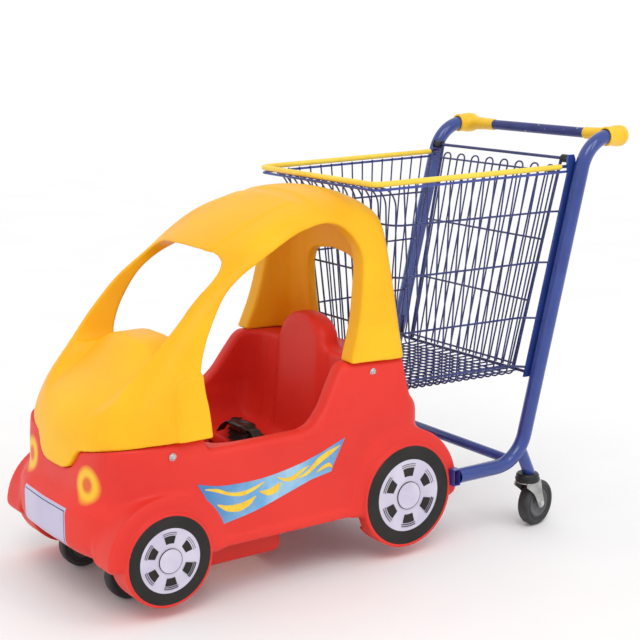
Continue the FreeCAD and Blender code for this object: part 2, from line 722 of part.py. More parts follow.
def gate():
    """Rear gate that swings forward from its top rod when another cart is pushed in."""
    reach = size("rail_strip_inner") - 2
    shape_part("gate_hinge_rod", rod(HINGE - Vector(reach, 0, 0), HINGE + Vector(reach, 0, 0),
                                     size("hinge_rod_radius")))
    side = size("gate_side_wire") / 2
    sides = []
    for sign in SIDES.values():
        top = on_gate(sign * GATE_HALF[0], size("hinge_rod_radius"))
        sides.append(rod(top, on_gate(sign * GATE_HALF[1], GATE_LENGTH), side))
    shape_part("gate_side_wires", Part.makeCompound(sides))

    hairpin = size("hairpin_wire") / 2
    plane = 1.8
    pitch_top, pitch_foot = 57.0, 52.0
    top_down, foot_down = 20.0, GATE_LENGTH - 8
    pins = []
    for index in range(HAIRPINS):
        place = index - (HAIRPINS - 1) / 2
        half_top, half_foot = pitch_top / 4, pitch_foot / 4
        centre_top, centre_foot = pitch_top * place, pitch_foot * place
        corners = [
            on_gate(centre_foot - half_foot, foot_down, plane),
            on_gate(centre_top - half_top, top_down, plane),
            on_gate(centre_top + half_top, top_down, plane),
            on_gate(centre_foot + half_foot, foot_down, plane),
        ]
        pins.append(swept(bent_path(corners, [half_top * 0.9, half_top * 0.9]), hairpin))
    shape_part("gate_hairpin_wires", Part.makeCompound(pins))

    cross = size("hoop_wire") / 2
    bars = []
    for down in (36.0, 205.0, 360.0, GATE_LENGTH - 16):
        half = mix(*GATE_HALF, down / GATE_LENGTH) + side
        forward = side + cross
        bars.append(rod(on_gate(-half, down, forward), on_gate(half, down, forward), cross))
    shape_part("gate_cross_wires", Part.makeCompound(bars))


# ---------------------------------------------------------------- car body

BODY_HALF = size("body_half_width")
WALL = size("body_wall")
SKIRT = size("skirt_height")
HOOD_LINE = 380.0
FRONT_FAKE = (Vector(0, -569, 133), size("front_fake_radius"), 205)
REAR_FAKE = (Vector(0, 67, 155), size("rear_fake_radius"), 222)

BODY_SIDE = [(-690, SKIRT), (-694, 250), (-672, HOOD_LINE), (-462, HOOD_LINE), (-457, 352), (-372, 344), (-250, 346),
             (-200, 368), (-155, 405), (-130, 470), (-121, 500), (64, 487), (74, 400), (100, 386), (101, SKIRT)]
BODY_PLAN = [(0, -694), (150, -688), (215, -655), (250, -600), (BODY_HALF, -520), (BODY_HALF, 20), (250, 75),
             (225, 101), (0, 101)]


def outline_face(points, frame, inset=0.0):
    """A flat face from 2D points; frame turns a 2D point into a 3D one."""
    corners = [frame(*p) for p in points]
    face = Part.Face(Part.makePolygon(corners + [corners[0]]))
    return face.makeOffset2D(-inset, 2) if inset else face


def prism(face, along):
    return face.extrude(along)


def side_frame(x):
    return lambda y, z: Vector(x, y, z)


def plan_frame(z):
    return lambda x, y: Vector(x, y, z)


def front_frame(y):
    return lambda x, z: Vector(x, y, z)


def both_sides(points):
    """A symmetric outline from its right half, which starts and ends on the middle line."""
    return points + [(-x, y) for x, y in reversed(points) if x > 0]


def car_hull(inset):
    side = prism(outline_face(BODY_SIDE, side_frame(-BODY_HALF + inset), inset), Vector(2 * (BODY_HALF - inset), 0, 0))
    plan = prism(outline_face(both_sides(BODY_PLAN), plan_frame(0), inset), Vector(0, 0, 700))
    return side.common(plan)


def bumper(inset):
    front = size("bumper_front")
    outline = both_sides([(0, front), (106, front), (175, -722), (225, -690), (252, -640), (252, -600), (0, -600)])
    low, high = 138 + inset, 248 - inset
    return prism(outline_face(outline, plan_frame(low), inset), Vector(0, 0, high - low))


def fake_wheel(place, inset):
    """A wheel moulded into both sides of the body; place is its centre, radius and inner face."""
    centre, radius, inner_face = place
    inner, outer = inner_face + inset, size("fake_wheel_face") - inset
    right = Part.makeCylinder(radius - inset, outer - inner, centre + Vector(inner, 0, 0), Vector(1, 0, 0))
    return right.fuse(mirrored(right))


def fused(shapes):
    result = shapes[0]
    for shape in shapes[1:]:
        result = result.fuse(shape)
    return result


def moulded_mass(inset):
    return fused([
        car_hull(inset),
        bumper(inset),
        fake_wheel(FRONT_FAKE, inset),
        fake_wheel(REAR_FAKE, inset),
    ])


SEAT_Z = 262.0
FOOTWELL_Z = 51.0


def tub(grow):
    """The cabin: seat and seat back between the side walls, and a deep footwell."""
    cabin = [(-432 - grow, 620), (-432 - grow, SEAT_Z - 60 - grow), (-268 + grow, SEAT_Z - 60 - grow),
             (-262 + grow, SEAT_Z - grow), (-62 + grow, SEAT_Z - 14 - grow), (-30 + grow, 620)]
    half = 222 + grow
    upper = prism(outline_face(cabin, side_frame(-half)), Vector(2 * half, 0, 0))
    well_half = 165 + grow
    foot = Vector(-well_half, -424 - grow, FOOTWELL_Z - grow)
    well = Part.makeBox(2 * well_half, 160 + 2 * grow, 200, foot)
    under_seat = Part.makeBox(2 * well_half, 196 + 2 * grow, SEAT_Z - 22 - FOOTWELL_Z, foot)
    return upper.fuse(well).fuse(under_seat)


def screw_places():
    return [(sign, y, z) for sign in SIDES.values() for y, z in ((-549, 352), (-31, 462))]


def tab(sign, y, z, gap):
    """The roof's tab behind the body wall at a screw."""
    outer = BODY_HALF - WALL - 0.3 + gap
    low, high = Vector(outer - 12 - 2 * gap, y - 22 - gap, z - 16 - gap), 520
    box = Part.makeBox(12 + 2 * gap, 44 + 2 * gap, high - low.z, low)
    return box if sign > 0 else mirrored(box)


def screw_hole(sign, y, z):
    return rod(Vector(sign * (BODY_HALF - 25), y, z), Vector(sign * (BODY_HALF + 5), y, z), 3.1)


def rail_notch(sign):
    """Where a chassis rail leaves through the rear wall."""
    half = size("rail_section") / 2 + 1
    low = SKIRT - 1
    top = size("chassis_height") + half
    corner = Vector(sign * size("rail_offset") - half, 80, low)
    return Part.makeBox(2 * half, 30, top - low, corner)


def seat_hump():
    """Rounded head rest in the middle of the seat back."""
    width, low, top = 113.0, 440.0, 556.0
    flat = [Vector(-width, -26, low), Vector(-width, -26, 500), Vector(-70, -26, top - 9), Vector(0, -26, top)]
    flat += [Vector(-p.x, p.y, p.z) for p in reversed(flat[:-1])]
    face = Part.Face(Part.makePolygon(flat + [flat[0]]))
    return face.extrude(Vector(0, 38, 0))


def car_body():
    """Red moulded tub: one wall all round, open underneath where the chassis rails run."""
    outer = moulded_mass(0)
    void = moulded_mass(WALL)
    opening = prism(outline_face(both_sides(BODY_PLAN), plan_frame(SKIRT - 1), WALL), Vector(0, 0, 20))
    opening = opening.cut(fake_wheel(FRONT_FAKE, 0)).cut(fake_wheel(REAR_FAKE, 0))
    lid = prism(outline_face(both_sides(BODY_PLAN), plan_frame(0)), Vector(0, 0, 700))
    well = tub(WALL).common(lid)
    floor_clear = Part.makeBox(900, 1200, SKIRT, Vector(-450, -800, 0))
    well_outside = well.common(outer.fuse(floor_clear))
    shell = outer.cut(void).cut(opening).fuse(well_outside).fuse(seat_hump())
    shell = shell.cut(tub(0))
    cutters = [tab(*place, 0.3) for place in screw_places()]
    cutters += [screw_hole(*place) for place in screw_places()]
    cutters += [rail_notch(sign) for sign in SIDES.values()]
    for cutter in cutters:
        shell = shell.cut(cutter)
    solids = sorted(shell.Solids, key=lambda s: s.Volume)
    shape_part("car_body", solids[-1])


# ---------------------------------------------------------------- car roof

ROOF_SIDE = [(-690, 285), (-690, 400), (-655, 465), (-600, 535), (-540, 605), (-470, 685), (-380, 752), (-306, 795),
             (-230, 824), (-150, 848), (-70, 858), (-10, 850), (22, 825), (36, 780), (44, 700), (62, 560), (66, 440),
             (0, 285)]
ROOF_FRONT = [(0, 862), (90, 855), (160, 833), (205, 800), (232, 740), (250, 640), (262, 520), (264, 285), (0, 285)]
ROOF_PLAN = [(0, -690), (100, -684), (180, -655), (232, -600), (258, -520), (264, -440), (264, 10), (245, 50),
             (200, 66), (0, 66)]
DOOR = [(-462, 300), (-462, 510), (-448, 590), (-428, 645), (-399, 684), (-345, 728), (-281, 760), (-224, 783),
        (-173, 796), (-120, 800), (-75, 785), (-45, 750), (-40, 700), (-52, 620), (-64, 540), (-78, 490), (-90, 300)]
WINDSHIELD = [(0, 560), (60, 556), (104, 537), (126, 585), (140, 640), (138, 690), (116, 728), (60, 744), (0, 748)]
REAR_WINDOW = [(0, 440), (92, 440), (96, 560), (98, 640), (80, 684), (40, 700), (0, 704)]
TONGUE = [(0, 300), (60, 305), (92, 340), (100, HOOD_LINE), (300, HOOD_LINE), (300, 200), (0, 200)]


def roof_form(inset):
    half = ROOF_PLAN[5][0]
    side = prism(outline_face(ROOF_SIDE, side_frame(-half), inset), Vector(2 * half, 0, 0))
    front = prism(outline_face(both_sides(ROOF_FRONT), front_frame(100), inset), Vector(0, -900, 0))
    plan = prism(outline_face(both_sides(ROOF_PLAN), plan_frame(0), inset), Vector(0, 0, 1000))
    return side.common(front).common(plan)


def car_roof():
    """Yellow moulded bonnet, pillars and roof in one thin shell."""
    shell = roof_form(0).cut(roof_form(WALL))
    door = prism(outline_face(DOOR, side_frame(-400)), Vector(800, 0, 0))
    windshield = prism(outline_face(both_sides(WINDSHIELD), front_frame(-250)), Vector(0, -600, 0))
    rear_window = prism(outline_face(both_sides(REAR_WINDOW), front_frame(-60)), Vector(0, 200, 0))
    skirt_cut = prism(outline_face(both_sides(TONGUE), front_frame(-300)), Vector(0, -600, 0))
    rear_low = [(-120, 200), (-120, 500.1), (64, 487.1), (120, 487.1), (120, 200)]
    rear_cut = prism(outline_face(rear_low, side_frame(-400)), Vector(800, 0, 0))
    under_front = Part.makeBox(800, 400, 200, Vector(-400, -660, 180))
    for cutter in (door, windshield, rear_window, skirt_cut, rear_cut, under_front):
        shell = shell.cut(cutter)
    tabs = [tab(*place, 0) for place in screw_places()]
    lids = [t.common(roof_form(WALL)) for t in tabs]
    shell = fused([shell] + lids)
    shell = shell.cut(parts["car_body"].Shape)
    for place in screw_places():
        shell = shell.cut(screw_hole(*place))
    solids = sorted(shell.Solids, key=lambda s: s.Volume)
    shape_part("car_roof", solids[-1])


# ---------------------------------------------------------------- stickers, screws, belt

SIDE_GRAPHIC = [(-493, 282), (-420, 270), (-330, 262), (-230, 274), (-107, 320), (-128, 285), (-145, 249), (-225, 236),
                (-320, 218), (-428, 182), (-452, 238)]


def trim():
    thickness = size("sticker_thickness")
    for label, centre, radius in (("front_wheel_stickers", FRONT_FAKE[0], size("front_disc_radius")),
                                  ("rear_wheel_stickers", REAR_FAKE[0], size("rear_disc_radius"))):
        face = size("fake_wheel_face")
        disc = Part.makeCylinder(radius, thickness, centre + Vector(face, 0, 0), Vector(1, 0, 0))
        shape_part(label, Part.makeCompound([disc, mirrored(disc)]))
    graphic = prism(outline_face(SIDE_GRAPHIC, side_frame(BODY_HALF)), Vector(thickness, 0, 0))
    shape_part("side_stickers", Part.makeCompound([graphic, mirrored(graphic)]))

    plate = doc.addObject("Part::Box", "plate_sticker")
    plate.Length, plate.Height = 204, 78
    bind(plate, "Width", "Sizes.sticker_thickness")
    plate.Placement = Placement(Vector(-102, size("bumper_front") - thickness, 150), Rotation())
    keep(plate, "plate_sticker")

    screws = []
    for sign, y, z in screw_places():
        wall = Vector(sign * BODY_HALF, y, z)
        head = rod(wall, wall + Vector(sign * 3, 0, 0), 7)
        screws.append(head.fuse(rod(wall - Vector(sign * 17, 0, 0), wall, 3)).removeSplitter())
    shape_part("roof_screws", Part.makeCompound(screws))


def seat_belt():
    """Lap belt lying on the seat: webbing from each side to a buckle."""
    webbing = []
    for sign in SIDES.values():
        top = SEAT_Z + 2
        points = [Vector(sign * 30, -218, top + 6), Vector(sign * 48, -213, top), Vector(sign * 105, -188, top - 2),
                  Vector(sign * 160, -150, top - 4), Vector(sign * 205, -112, top - 6)]
        face = Part.makePolygon(points).extrude(Vector(0, 25, -1.5))
        webbing.append(face.extrude(Vector(0, 0, 2)))
    solids = [s.removeSplitter() if s.Solids else s for s in webbing]
    shape_part("belt_webbing", Part.makeCompound([fused(s.Solids) for s in solids]))
    buckle = doc.addObject("Part::Box", "belt_buckle_block")
    buckle.Length, buckle.Width, buckle.Height = 58, 38, 14
    buckle.Placement = Placement(Vector(-29, -224, SEAT_Z + 1), Rotation())
    doc.recompute()
    rounded = doc.addObject("Part::Fillet", "belt_buckle")
    rounded.Base = buckle
    rounded.Edges = [(i + 1, 4.0, 4.0) for i in range(12)]
    keep(rounded, "belt_buckle")


# ---------------------------------------------------------------- build, check and export


def build():
    frame_tubes()
    chassis()
    handle()
    wheels()
    basket_mounts()
    basket_rim()
    basket_hoops()
    basket_panels()
    gate()
    car_body()
    car_roof()
    trim()
    seat_belt()
    doc.recompute()


def export():
    os.makedirs("parts", exist_ok=True)
    for obj in doc.Objects:
        if "Invalid" in obj.State or "Error" in obj.State:
            raise RuntimeError(f"{obj.Label} did not compute: {obj.State}")
    for label, obj in parts.items():
        if obj.Shape.isNull() or not obj.Shape.isValid() or not obj.Shape.Solids:
            raise RuntimeError(f"{label} has no valid solid")
        obj.Shape.exportStep(f"parts/{label}.step")
        print(f"{label:28s} {len(obj.Shape.Solids):3d} solids {obj.Shape.Volume / 1000:9.1f} cm3")


build()
export()
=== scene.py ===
import json
import math

import bmesh
import bpy
import numpy as np
from mathutils import Matrix, Vector


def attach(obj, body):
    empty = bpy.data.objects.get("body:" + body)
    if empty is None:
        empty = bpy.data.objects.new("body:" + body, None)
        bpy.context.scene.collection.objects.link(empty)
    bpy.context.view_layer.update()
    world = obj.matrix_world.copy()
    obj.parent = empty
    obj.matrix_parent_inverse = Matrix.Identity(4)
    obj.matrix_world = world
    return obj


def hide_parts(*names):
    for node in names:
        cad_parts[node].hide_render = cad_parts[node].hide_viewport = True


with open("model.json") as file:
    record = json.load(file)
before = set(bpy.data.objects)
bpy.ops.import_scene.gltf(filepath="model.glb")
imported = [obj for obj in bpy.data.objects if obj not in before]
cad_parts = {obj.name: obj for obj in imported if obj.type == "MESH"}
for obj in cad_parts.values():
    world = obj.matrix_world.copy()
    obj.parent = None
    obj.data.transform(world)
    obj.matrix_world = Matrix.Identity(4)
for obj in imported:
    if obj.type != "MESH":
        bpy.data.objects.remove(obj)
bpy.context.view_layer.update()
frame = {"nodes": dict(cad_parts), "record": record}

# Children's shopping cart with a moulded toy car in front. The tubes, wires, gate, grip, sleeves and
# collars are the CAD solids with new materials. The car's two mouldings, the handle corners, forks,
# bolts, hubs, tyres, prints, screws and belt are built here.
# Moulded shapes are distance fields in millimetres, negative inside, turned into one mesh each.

NODES = frame["nodes"]
SIDES = {"left": -1, "right": 1}
MM = 0.001
GRID = 4.0
FAR, TINY = 1e9, 1e-9
CELL_CORNERS = [np.array([i & 1, i >> 1 & 1, i >> 2 & 1]) for i in range(8)]


# -------- outlines


def rounded(points, radius, steps=5):
    """A closed outline with every corner eased by a curve that starts radius away from it."""
    result = []
    count = len(points)
    for i in range(count):
        corner = np.array(points[i], float)
        before = np.array(points[i - 1], float) - corner
        after = np.array(points[(i + 1) % count], float) - corner
        start = corner + before * min(0.45, radius / np.linalg.norm(before))
        end = corner + after * min(0.45, radius / np.linalg.norm(after))
        for t in np.linspace(0, 1, steps):
            result.append(tuple((1 - t) ** 2 * start + 2 * t * (1 - t) * corner + t**2 * end))
    return result


def curve(points, steps=8):
    """A smooth open curve through points, from the first to the last."""
    knots = [np.array(point, float) for point in points]
    knots = [2 * knots[0] - knots[1]] + knots + [2 * knots[-1] - knots[-2]]
    result = []
    for a, b, c, d in zip(knots, knots[1:], knots[2:], knots[3:]):
        for t in np.arange(steps) / steps:
            square = (2 * a - 5 * b + 4 * c - d) * t**2
            cube = (3 * b - a - 3 * c + d) * t**3
            result.append(tuple(0.5 * (2 * b + (c - a) * t + square + cube)))
    result.append(tuple(knots[-2]))
    return result


def mirror_outline(half):
    """Closes an outline given for the right half."""
    return half + [(-u, v) for u, v in reversed(half) if u > 0]


# -------- distance fields


def outline(points, u, v):
    """Signed distance to a closed outline at every pair of u and v."""
    u, v = np.broadcast_arrays(u, v)
    nearest = np.full(u.shape, FAR, np.float32)
    inside = np.zeros(u.shape, bool)
    for (start_u, start_v), (end_u, end_v) in zip(points, points[1:] + points[:1]):
        run_u, run_v = end_u - start_u, end_v - start_v
        square = run_u * run_u + run_v * run_v
        if square < TINY:
            continue
        off_u, off_v = u - start_u, v - start_v
        t = np.clip((off_u * run_u + off_v * run_v) / square, 0, 1)
        nearest = np.minimum(nearest, (off_u - t * run_u) ** 2 + (off_v - t * run_v) ** 2)
        if start_v != end_v:
            inside ^= ((start_v > v) != (end_v > v)) & (off_u < run_u * off_v / run_v)
    return np.where(inside, -1, 1) * np.sqrt(nearest)


def both(a, b, soft):
    """Intersection with a rounded edge."""
    near = np.maximum(soft - np.abs(a - b), 0) / soft
    return np.maximum(a, b) + near * near * soft * 0.25


def either(a, b, soft):
    """Union with a filleted corner."""
    return -both(-a, -b, soft)


def less(a, b, soft):
    """a with b taken away."""
    return both(a, -b, soft)


def ramp(value, low, high):
    """0 below low, 1 above high, smooth between."""
    t = np.clip((value - low) / (high - low), 0, 1)
    return t * t * (3 - 2 * t)


def block(u, low, high):
    """Distance outside the slab between low and high."""
    return np.maximum(low - u, u - high)


def disc(y, z, centre, radius):
    """Distance outside a round rod along X."""
    return np.sqrt((y - centre[0]) ** 2 + (z - centre[1]) ** 2) - radius


def on_grid(shape, low, high, step):
    """The field of a shape that is the same left and right, worked out for one half and mirrored."""
    x = np.arange(0, high[0] + step, step, dtype=np.float32)[:, None, None]
    y = np.arange(low[1], high[1] + step, step, dtype=np.float32)[None, :, None]
    z = np.arange(low[2], high[2] + step, step, dtype=np.float32)[None, None, :]
    half = np.broadcast_to(shape(x, y, z), (x.size, y.size, z.size)).astype(np.float32)
    whole = np.concatenate([half[:0:-1], half])
    return whole, np.array([-x.max(), low[1], low[2]], np.float32)


# -------- meshes


def linked(name, data):
    """A new object in the scene for a mesh, a light or a camera."""
    made = bpy.data.objects.new(name, data)
    bpy.context.scene.collection.objects.link(made)
    return made


def mesh_piece(name, points, faces):
    """A smooth-shaded object from points in metres and faces that all have as many corners."""
    mesh = bpy.data.meshes.new(name)
    points = np.asarray(points, np.float32)
    faces = np.asarray(faces, np.int32)
    mesh.vertices.add(len(points))
    mesh.vertices.foreach_set("co", points.ravel())
    mesh.loops.add(faces.size)
    mesh.loops.foreach_set("vertex_index", faces.ravel())
    mesh.polygons.add(len(faces))
    mesh.polygons.foreach_set("loop_start", np.arange(0, faces.size, faces.shape[1], dtype=np.int32))
    mesh.update(calc_edges=True)
    mesh.validate()
    mesh.shade_smooth()
    return linked(name, mesh)


def mirrored_copy(piece, name):
    """A copy of a piece mirrored for the other side; it keeps the piece's parent."""
    copy = piece.copy()
    copy.data = piece.data.copy()
    copy.name = name
    copy.data.transform(Matrix.Scale(-1, 4, Vector((1, 0, 0))))
    copy.data.flip_normals()
    bpy.context.scene.collection.objects.link(copy)
    return copy


def joined(name, pieces):
    """One piece out of several meshes."""
    whole = bmesh.new()
    for piece in pieces:
        whole.from_mesh(piece.data)
        bpy.data.objects.remove(piece)
    mesh = bpy.data.meshes.new(name)
    whole.to_mesh(mesh)
    whole.free()
    return linked(name, mesh)


def place(piece, centre, yaw=0.0):
    """Puts a piece that was made round its own centre in its place, in millimetres and degrees."""
    turn = Matrix.Rotation(math.radians(yaw), 4, "Z")
    piece.data.transform(Matrix.Translation(Vector(centre) * MM) @ turn)
    return piece


def trilinear(field, at):
    """The field's value at places between grid points, counted in grid steps."""
    base = np.clip(at.astype(int), 0, np.array(field.shape) - 2)
    part = np.clip(at - base, 0, 1)
    total = np.zeros(len(at))
    for corner in CELL_CORNERS:
        weight = np.prod(np.where(corner, part, 1 - part), axis=1)
        total += weight * field[tuple((base + corner).T)]
    return total


def gradient(field, at):
    """The field's slope for each grid step along X, Y and Z."""
    reach = 0.75
    shifts = np.eye(3) * reach
    rise = [trilinear(field, at + shift) - trilinear(field, at - shift) for shift in shifts]
    return np.stack(rise, axis=1) / (2 * reach)


def cell_points(field, cells):
    """A point in each cell, at the mean of the places where the surface crosses the cell's edges."""
    total = np.zeros((len(cells), 3))
    hits = np.zeros((len(cells), 1))
    for axis in range(3):
        for start in CELL_CORNERS:
            if start[axis]:
                continue
            end = start.copy()
            end[axis] = 1
            a = field[tuple((cells + start).T)]
            b = field[tuple((cells + end).T)]
            cross = ((a < 0) != (b < 0))[:, None]
            t = (a / np.where(a == b, 1, a - b))[:, None]
            total += np.where(cross, start + t * (end - start), 0)
            hits += cross
    return cells + total / hits


def cell_quads(inside, index):
    """A quad of four cells' points round every grid edge that the surface crosses, facing outwards."""
    faces = []
    for axis in range(3):
        one, two = (axis + 1) % 3, (axis + 2) % 3
        low, high = [slice(None)] * 3, [slice(None)] * 3
        low[axis], high[axis] = slice(None, -1), slice(1, None)
        edges = np.argwhere(inside[tuple(low)] != inside[tuple(high)])
        for other in (one, two):
            edges = edges[(edges[:, other] > 0) & (edges[:, other] < inside.shape[other] - 1)]
        quad = []
        for back_one, back_two in ((1, 1), (0, 1), (0, 0), (1, 0)):
            cell = edges.copy()
            cell[:, one] -= back_one
            cell[:, two] -= back_two
            quad.append(index[tuple(cell.T)])
        quad = np.stack(quad, axis=1)
        outward = inside[tuple(edges.T)]
        faces.append(np.where(outward[:, None], quad, quad[:, ::-1]))
    return np.concatenate(faces)


def relaxed(field, at, faces, step, rounds):
    """The points evened out along the surface, and moved back onto it after each round."""
    pairs = np.concatenate([faces[:, [i, (i + 1) % 4]] for i in range(4)])
    pairs = np.concatenate([pairs, pairs[:, ::-1]])
    degree = np.bincount(pairs[:, 0], minlength=len(at))[:, None]
    for _ in range(rounds):
        sums = [np.bincount(pairs[:, 0], at[pairs[:, 1], k], len(at)) for k in range(3)]
        at = 0.5 * at + 0.5 * np.stack(sums, axis=1) / degree
        for _ in range(2):
            slope = gradient(field, at)
            length = np.maximum((slope**2).sum(axis=1, keepdims=True), 0.05 * step * step)
            move = -trilinear(field, at)[:, None] * slope / length
            at += np.clip(move, -0.5, 0.5)
    return at


def surface(name, field, origin, step, rounds=2):
    """One smooth quad mesh of a field's zero surface."""
    inside = field < 0
    count = np.zeros(np.array(field.shape) - 1, np.int8)
    halves = (slice(None, -1), slice(1, None))
    for corner in CELL_CORNERS:
        count += inside[tuple(halves[i] for i in corner)]
    cells = np.argwhere((count > 0) & (count < len(CELL_CORNERS)))
    index = np.full(count.shape, -1, np.int64)
    index[tuple(cells.T)] = np.arange(len(cells))
    faces = cell_quads(inside, index)
    at = relaxed(field, cell_points(field, cells), faces, step, rounds)
    return mesh_piece(name, (origin + at * step) * MM, faces)


PIECES = []


def declare(piece, nodes, body, slot, look=None):
    """Says which CAD nodes a piece stands for, what it rides on and what it is made of."""
    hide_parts(*nodes)
    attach(piece, body)
    PIECES.append((piece, look or slot))
    return piece


# -------- car roof and bonnet

ROOF_LINE = [(-704, 285), (-700, 340), (-691, 390), (-660, 450), (-599, 528), (-538, 608), (-466, 687),
             (-376, 747), (-306, 788), (-236, 822), (-166, 850), (-96, 868), (-36, 868), (12, 852), (50, 806),
             (61, 700), (72, 590), (84, 480)]
ROOF_FOOT = [(70, 200), (-692, 200)]
ROOF_CROSS = [(0, 876), (60, 872), (110, 860), (157, 838), (190, 806), (209, 745), (222, 680), (233, 600),
              (245, 500), (259, 420), (265, 380)]
ROOF_PLAN = [(0, -760), (300, -760), (300, -400), (268, -400), (268, 66), (260, 88), (234, 99), (0, 99)]
FRONT_CUT, DOOR_CUT, WINDOW_CUT, SKIRT_CUT = -300, 150, -40, -200
DOOR = [(-455, 385), (-457, 440), (-462, 482), (-462, 520), (-450, 562), (-427, 609), (-390, 664),
        (-346, 702), (-296, 732), (-203, 778), (-150, 794), (-105, 801), (-72, 792), (-44, 768), (-26, 735),
        (-24, 700), (-33, 643), (-42, 594), (-54, 550), (-77, 484), (-84, 440)]
WINDSHIELD = [(0, 562), (50, 560), (92, 551), (128, 534), (158, 524), (174, 545), (182, 600), (180, 654),
              (173, 698), (156, 726), (130, 740), (88, 748), (0, 752)]
REAR_WINDOW = [(100, 420), (103, 500), (106, 590), (102, 655), (76, 697), (0, 710)]
TONGUE_GAP = [(0, 299), (40, 300), (62, 306), (76, 318), (86, 334), (100, 349), (150, 357), (205, 368),
              (248, 379), (266, 382), (360, 382), (360, 150), (0, 150)]
REAR_SKIRT = [(-200, 490), (120, 477), (120, 100), (-200, 100)]
FENDER_LOBE = [(-541, 372), (-540, 440), (-532, 490), (-514, 514), (-486, 518), (-440, 518), (-440, 372)]
CROSS_FOOT, DOOR_FOOT, WINDOW_FOOT = [(264, 200)], [(-88, 150), (-455, 150)], [(92, 300)]
ROOF_BOX = (0, -712, 285), (288, 92, 876)
WALL, PILLAR_WALL, NOSE_WALL = 26, 22, 34
LOBE_HEIGHT, SCOOP_DEPTH, COWL_HEIGHT, PANEL_HEIGHT, BAND_HEIGHT = 12, 50, 5, 2.5, 3.5
TABLE_LOW, TABLE_HIGH, TABLE_STEP = (-800.0, 180.0), (120, 950), 3.0


def side_profile(y, z):
    """Distance to the roof's side outline, read from a table because that is quicker on a full grid."""
    table_y = np.arange(TABLE_LOW[0], TABLE_HIGH[0], TABLE_STEP)[:, None]
    table_z = np.arange(TABLE_LOW[1], TABLE_HIGH[1], TABLE_STEP)[None, :]
    table = outline(curve(ROOF_LINE) + ROOF_FOOT, table_y, table_z).astype(np.float32)
    u = np.clip((y - TABLE_LOW[0]) / TABLE_STEP, 0, table.shape[0] - 2)
    v = np.clip((z - TABLE_LOW[1]) / TABLE_STEP, 0, table.shape[1] - 2)
    u, v = np.broadcast_arrays(u, v)
    i, j = u.astype(np.int32), v.astype(np.int32)
    part_u, part_v = u - i, v - j
    low = table[i, j] * (1 - part_u) + table[i + 1, j] * part_u
    high = table[i, j + 1] * (1 - part_u) + table[i + 1, j + 1] * part_u
    return low * (1 - part_v) + high * part_v


def roof_form(x, y, z):
    """The outer skin of the roof and bonnet, as if they were solid."""
    nose_bow = 26 * (x / 180) ** 2 + 60 * (x / 262) ** 6
    front = 1 - ramp(y, -440, -160)
    crown = 16 * (x / 230) ** 2 * ramp(y, -460, -250)
    brow = 20 * (x / 200) ** 2 * np.exp(-(((y + 400) / 110) ** 2))
    side = side_profile(y - nose_bow * front, z + (crown + brow))
    cross = outline(mirror_outline(curve(ROOF_CROSS) + CROSS_FOOT), x, z)
    plan = outline(rounded(mirror_outline(ROOF_PLAN), 20), x, y)
    return both(both(side, cross, 34), plan, 16)


def roof_relief(x, y, z):
    """How far the skin stands out from its plain form: fenders, scoop, cowl, roof panel and rear band."""
    lobe = ramp(-outline(rounded(FENDER_LOBE, 12), y, z), -3, 8) * ramp(x, 170, 215)
    scoop_edge = 176 - 0.16 * np.abs(z - 540) - 60 * ramp(-z, -462, -380)
    scoop = ramp(z, 405, 540) * (1 - 0.9 * ramp(z, 560, 700)) * (1 - ramp(y, -430, -380))
    in_scoop = ramp(scoop_edge - x, 0, 44)
    cowl = np.exp(-((x / 78) ** 4)) * np.exp(-(((z - 556) / 34) ** 2)) * (1 - ramp(y, -480, -430))
    panel_edge = 128 + 0.10 * (y + 130)
    panel = ramp(panel_edge - x, -2, 7) * ramp(y, -420, -380) * (1 - ramp(y, -150, -142)) * ramp(z, 690, 730)
    band = ramp(y, -122, -112) * (0.8 + 0.2 * ramp(z, 520, 700))
    return (LOBE_HEIGHT * lobe - SCOOP_DEPTH * scoop * in_scoop + COWL_HEIGHT * cowl
            + PANEL_HEIGHT * panel + BAND_HEIGHT * band)


def roof_solid(x, y, z):
    """The roof moulding: a thick shell with its openings and lower edge cut."""
    form = roof_form(x, y, z) - roof_relief(x, y, z)
    wall = WALL + PILLAR_WALL * ramp(np.abs(x), 110, 190) + NOSE_WALL * ramp(-y, 330, 400) * ramp(z, 450, 500)
    shell = both(form, -(form + wall), 8)
    door = outline(curve(DOOR) + DOOR_FOOT, y, z)
    windshield = outline(mirror_outline(curve(WINDSHIELD)), x, z)
    window = outline(mirror_outline(curve(REAR_WINDOW[::-1]) + WINDOW_FOOT), x, z)
    under_front = outline(rounded(mirror_outline(TONGUE_GAP), 8), x, z)
    under_rear = outline(REAR_SKIRT, y, z)
    shell = less(shell, both(door, DOOR_CUT - x, 4), 8)
    shell = less(shell, both(windshield, y - FRONT_CUT, 4), 7)
    shell = less(shell, both(window, WINDOW_CUT - y, 4), 9)
    shell = less(shell, both(under_front, y - FRONT_CUT, 2), 3)
    return less(shell, both(under_rear, SKIRT_CUT - y, 2), 3)


# -------- car body

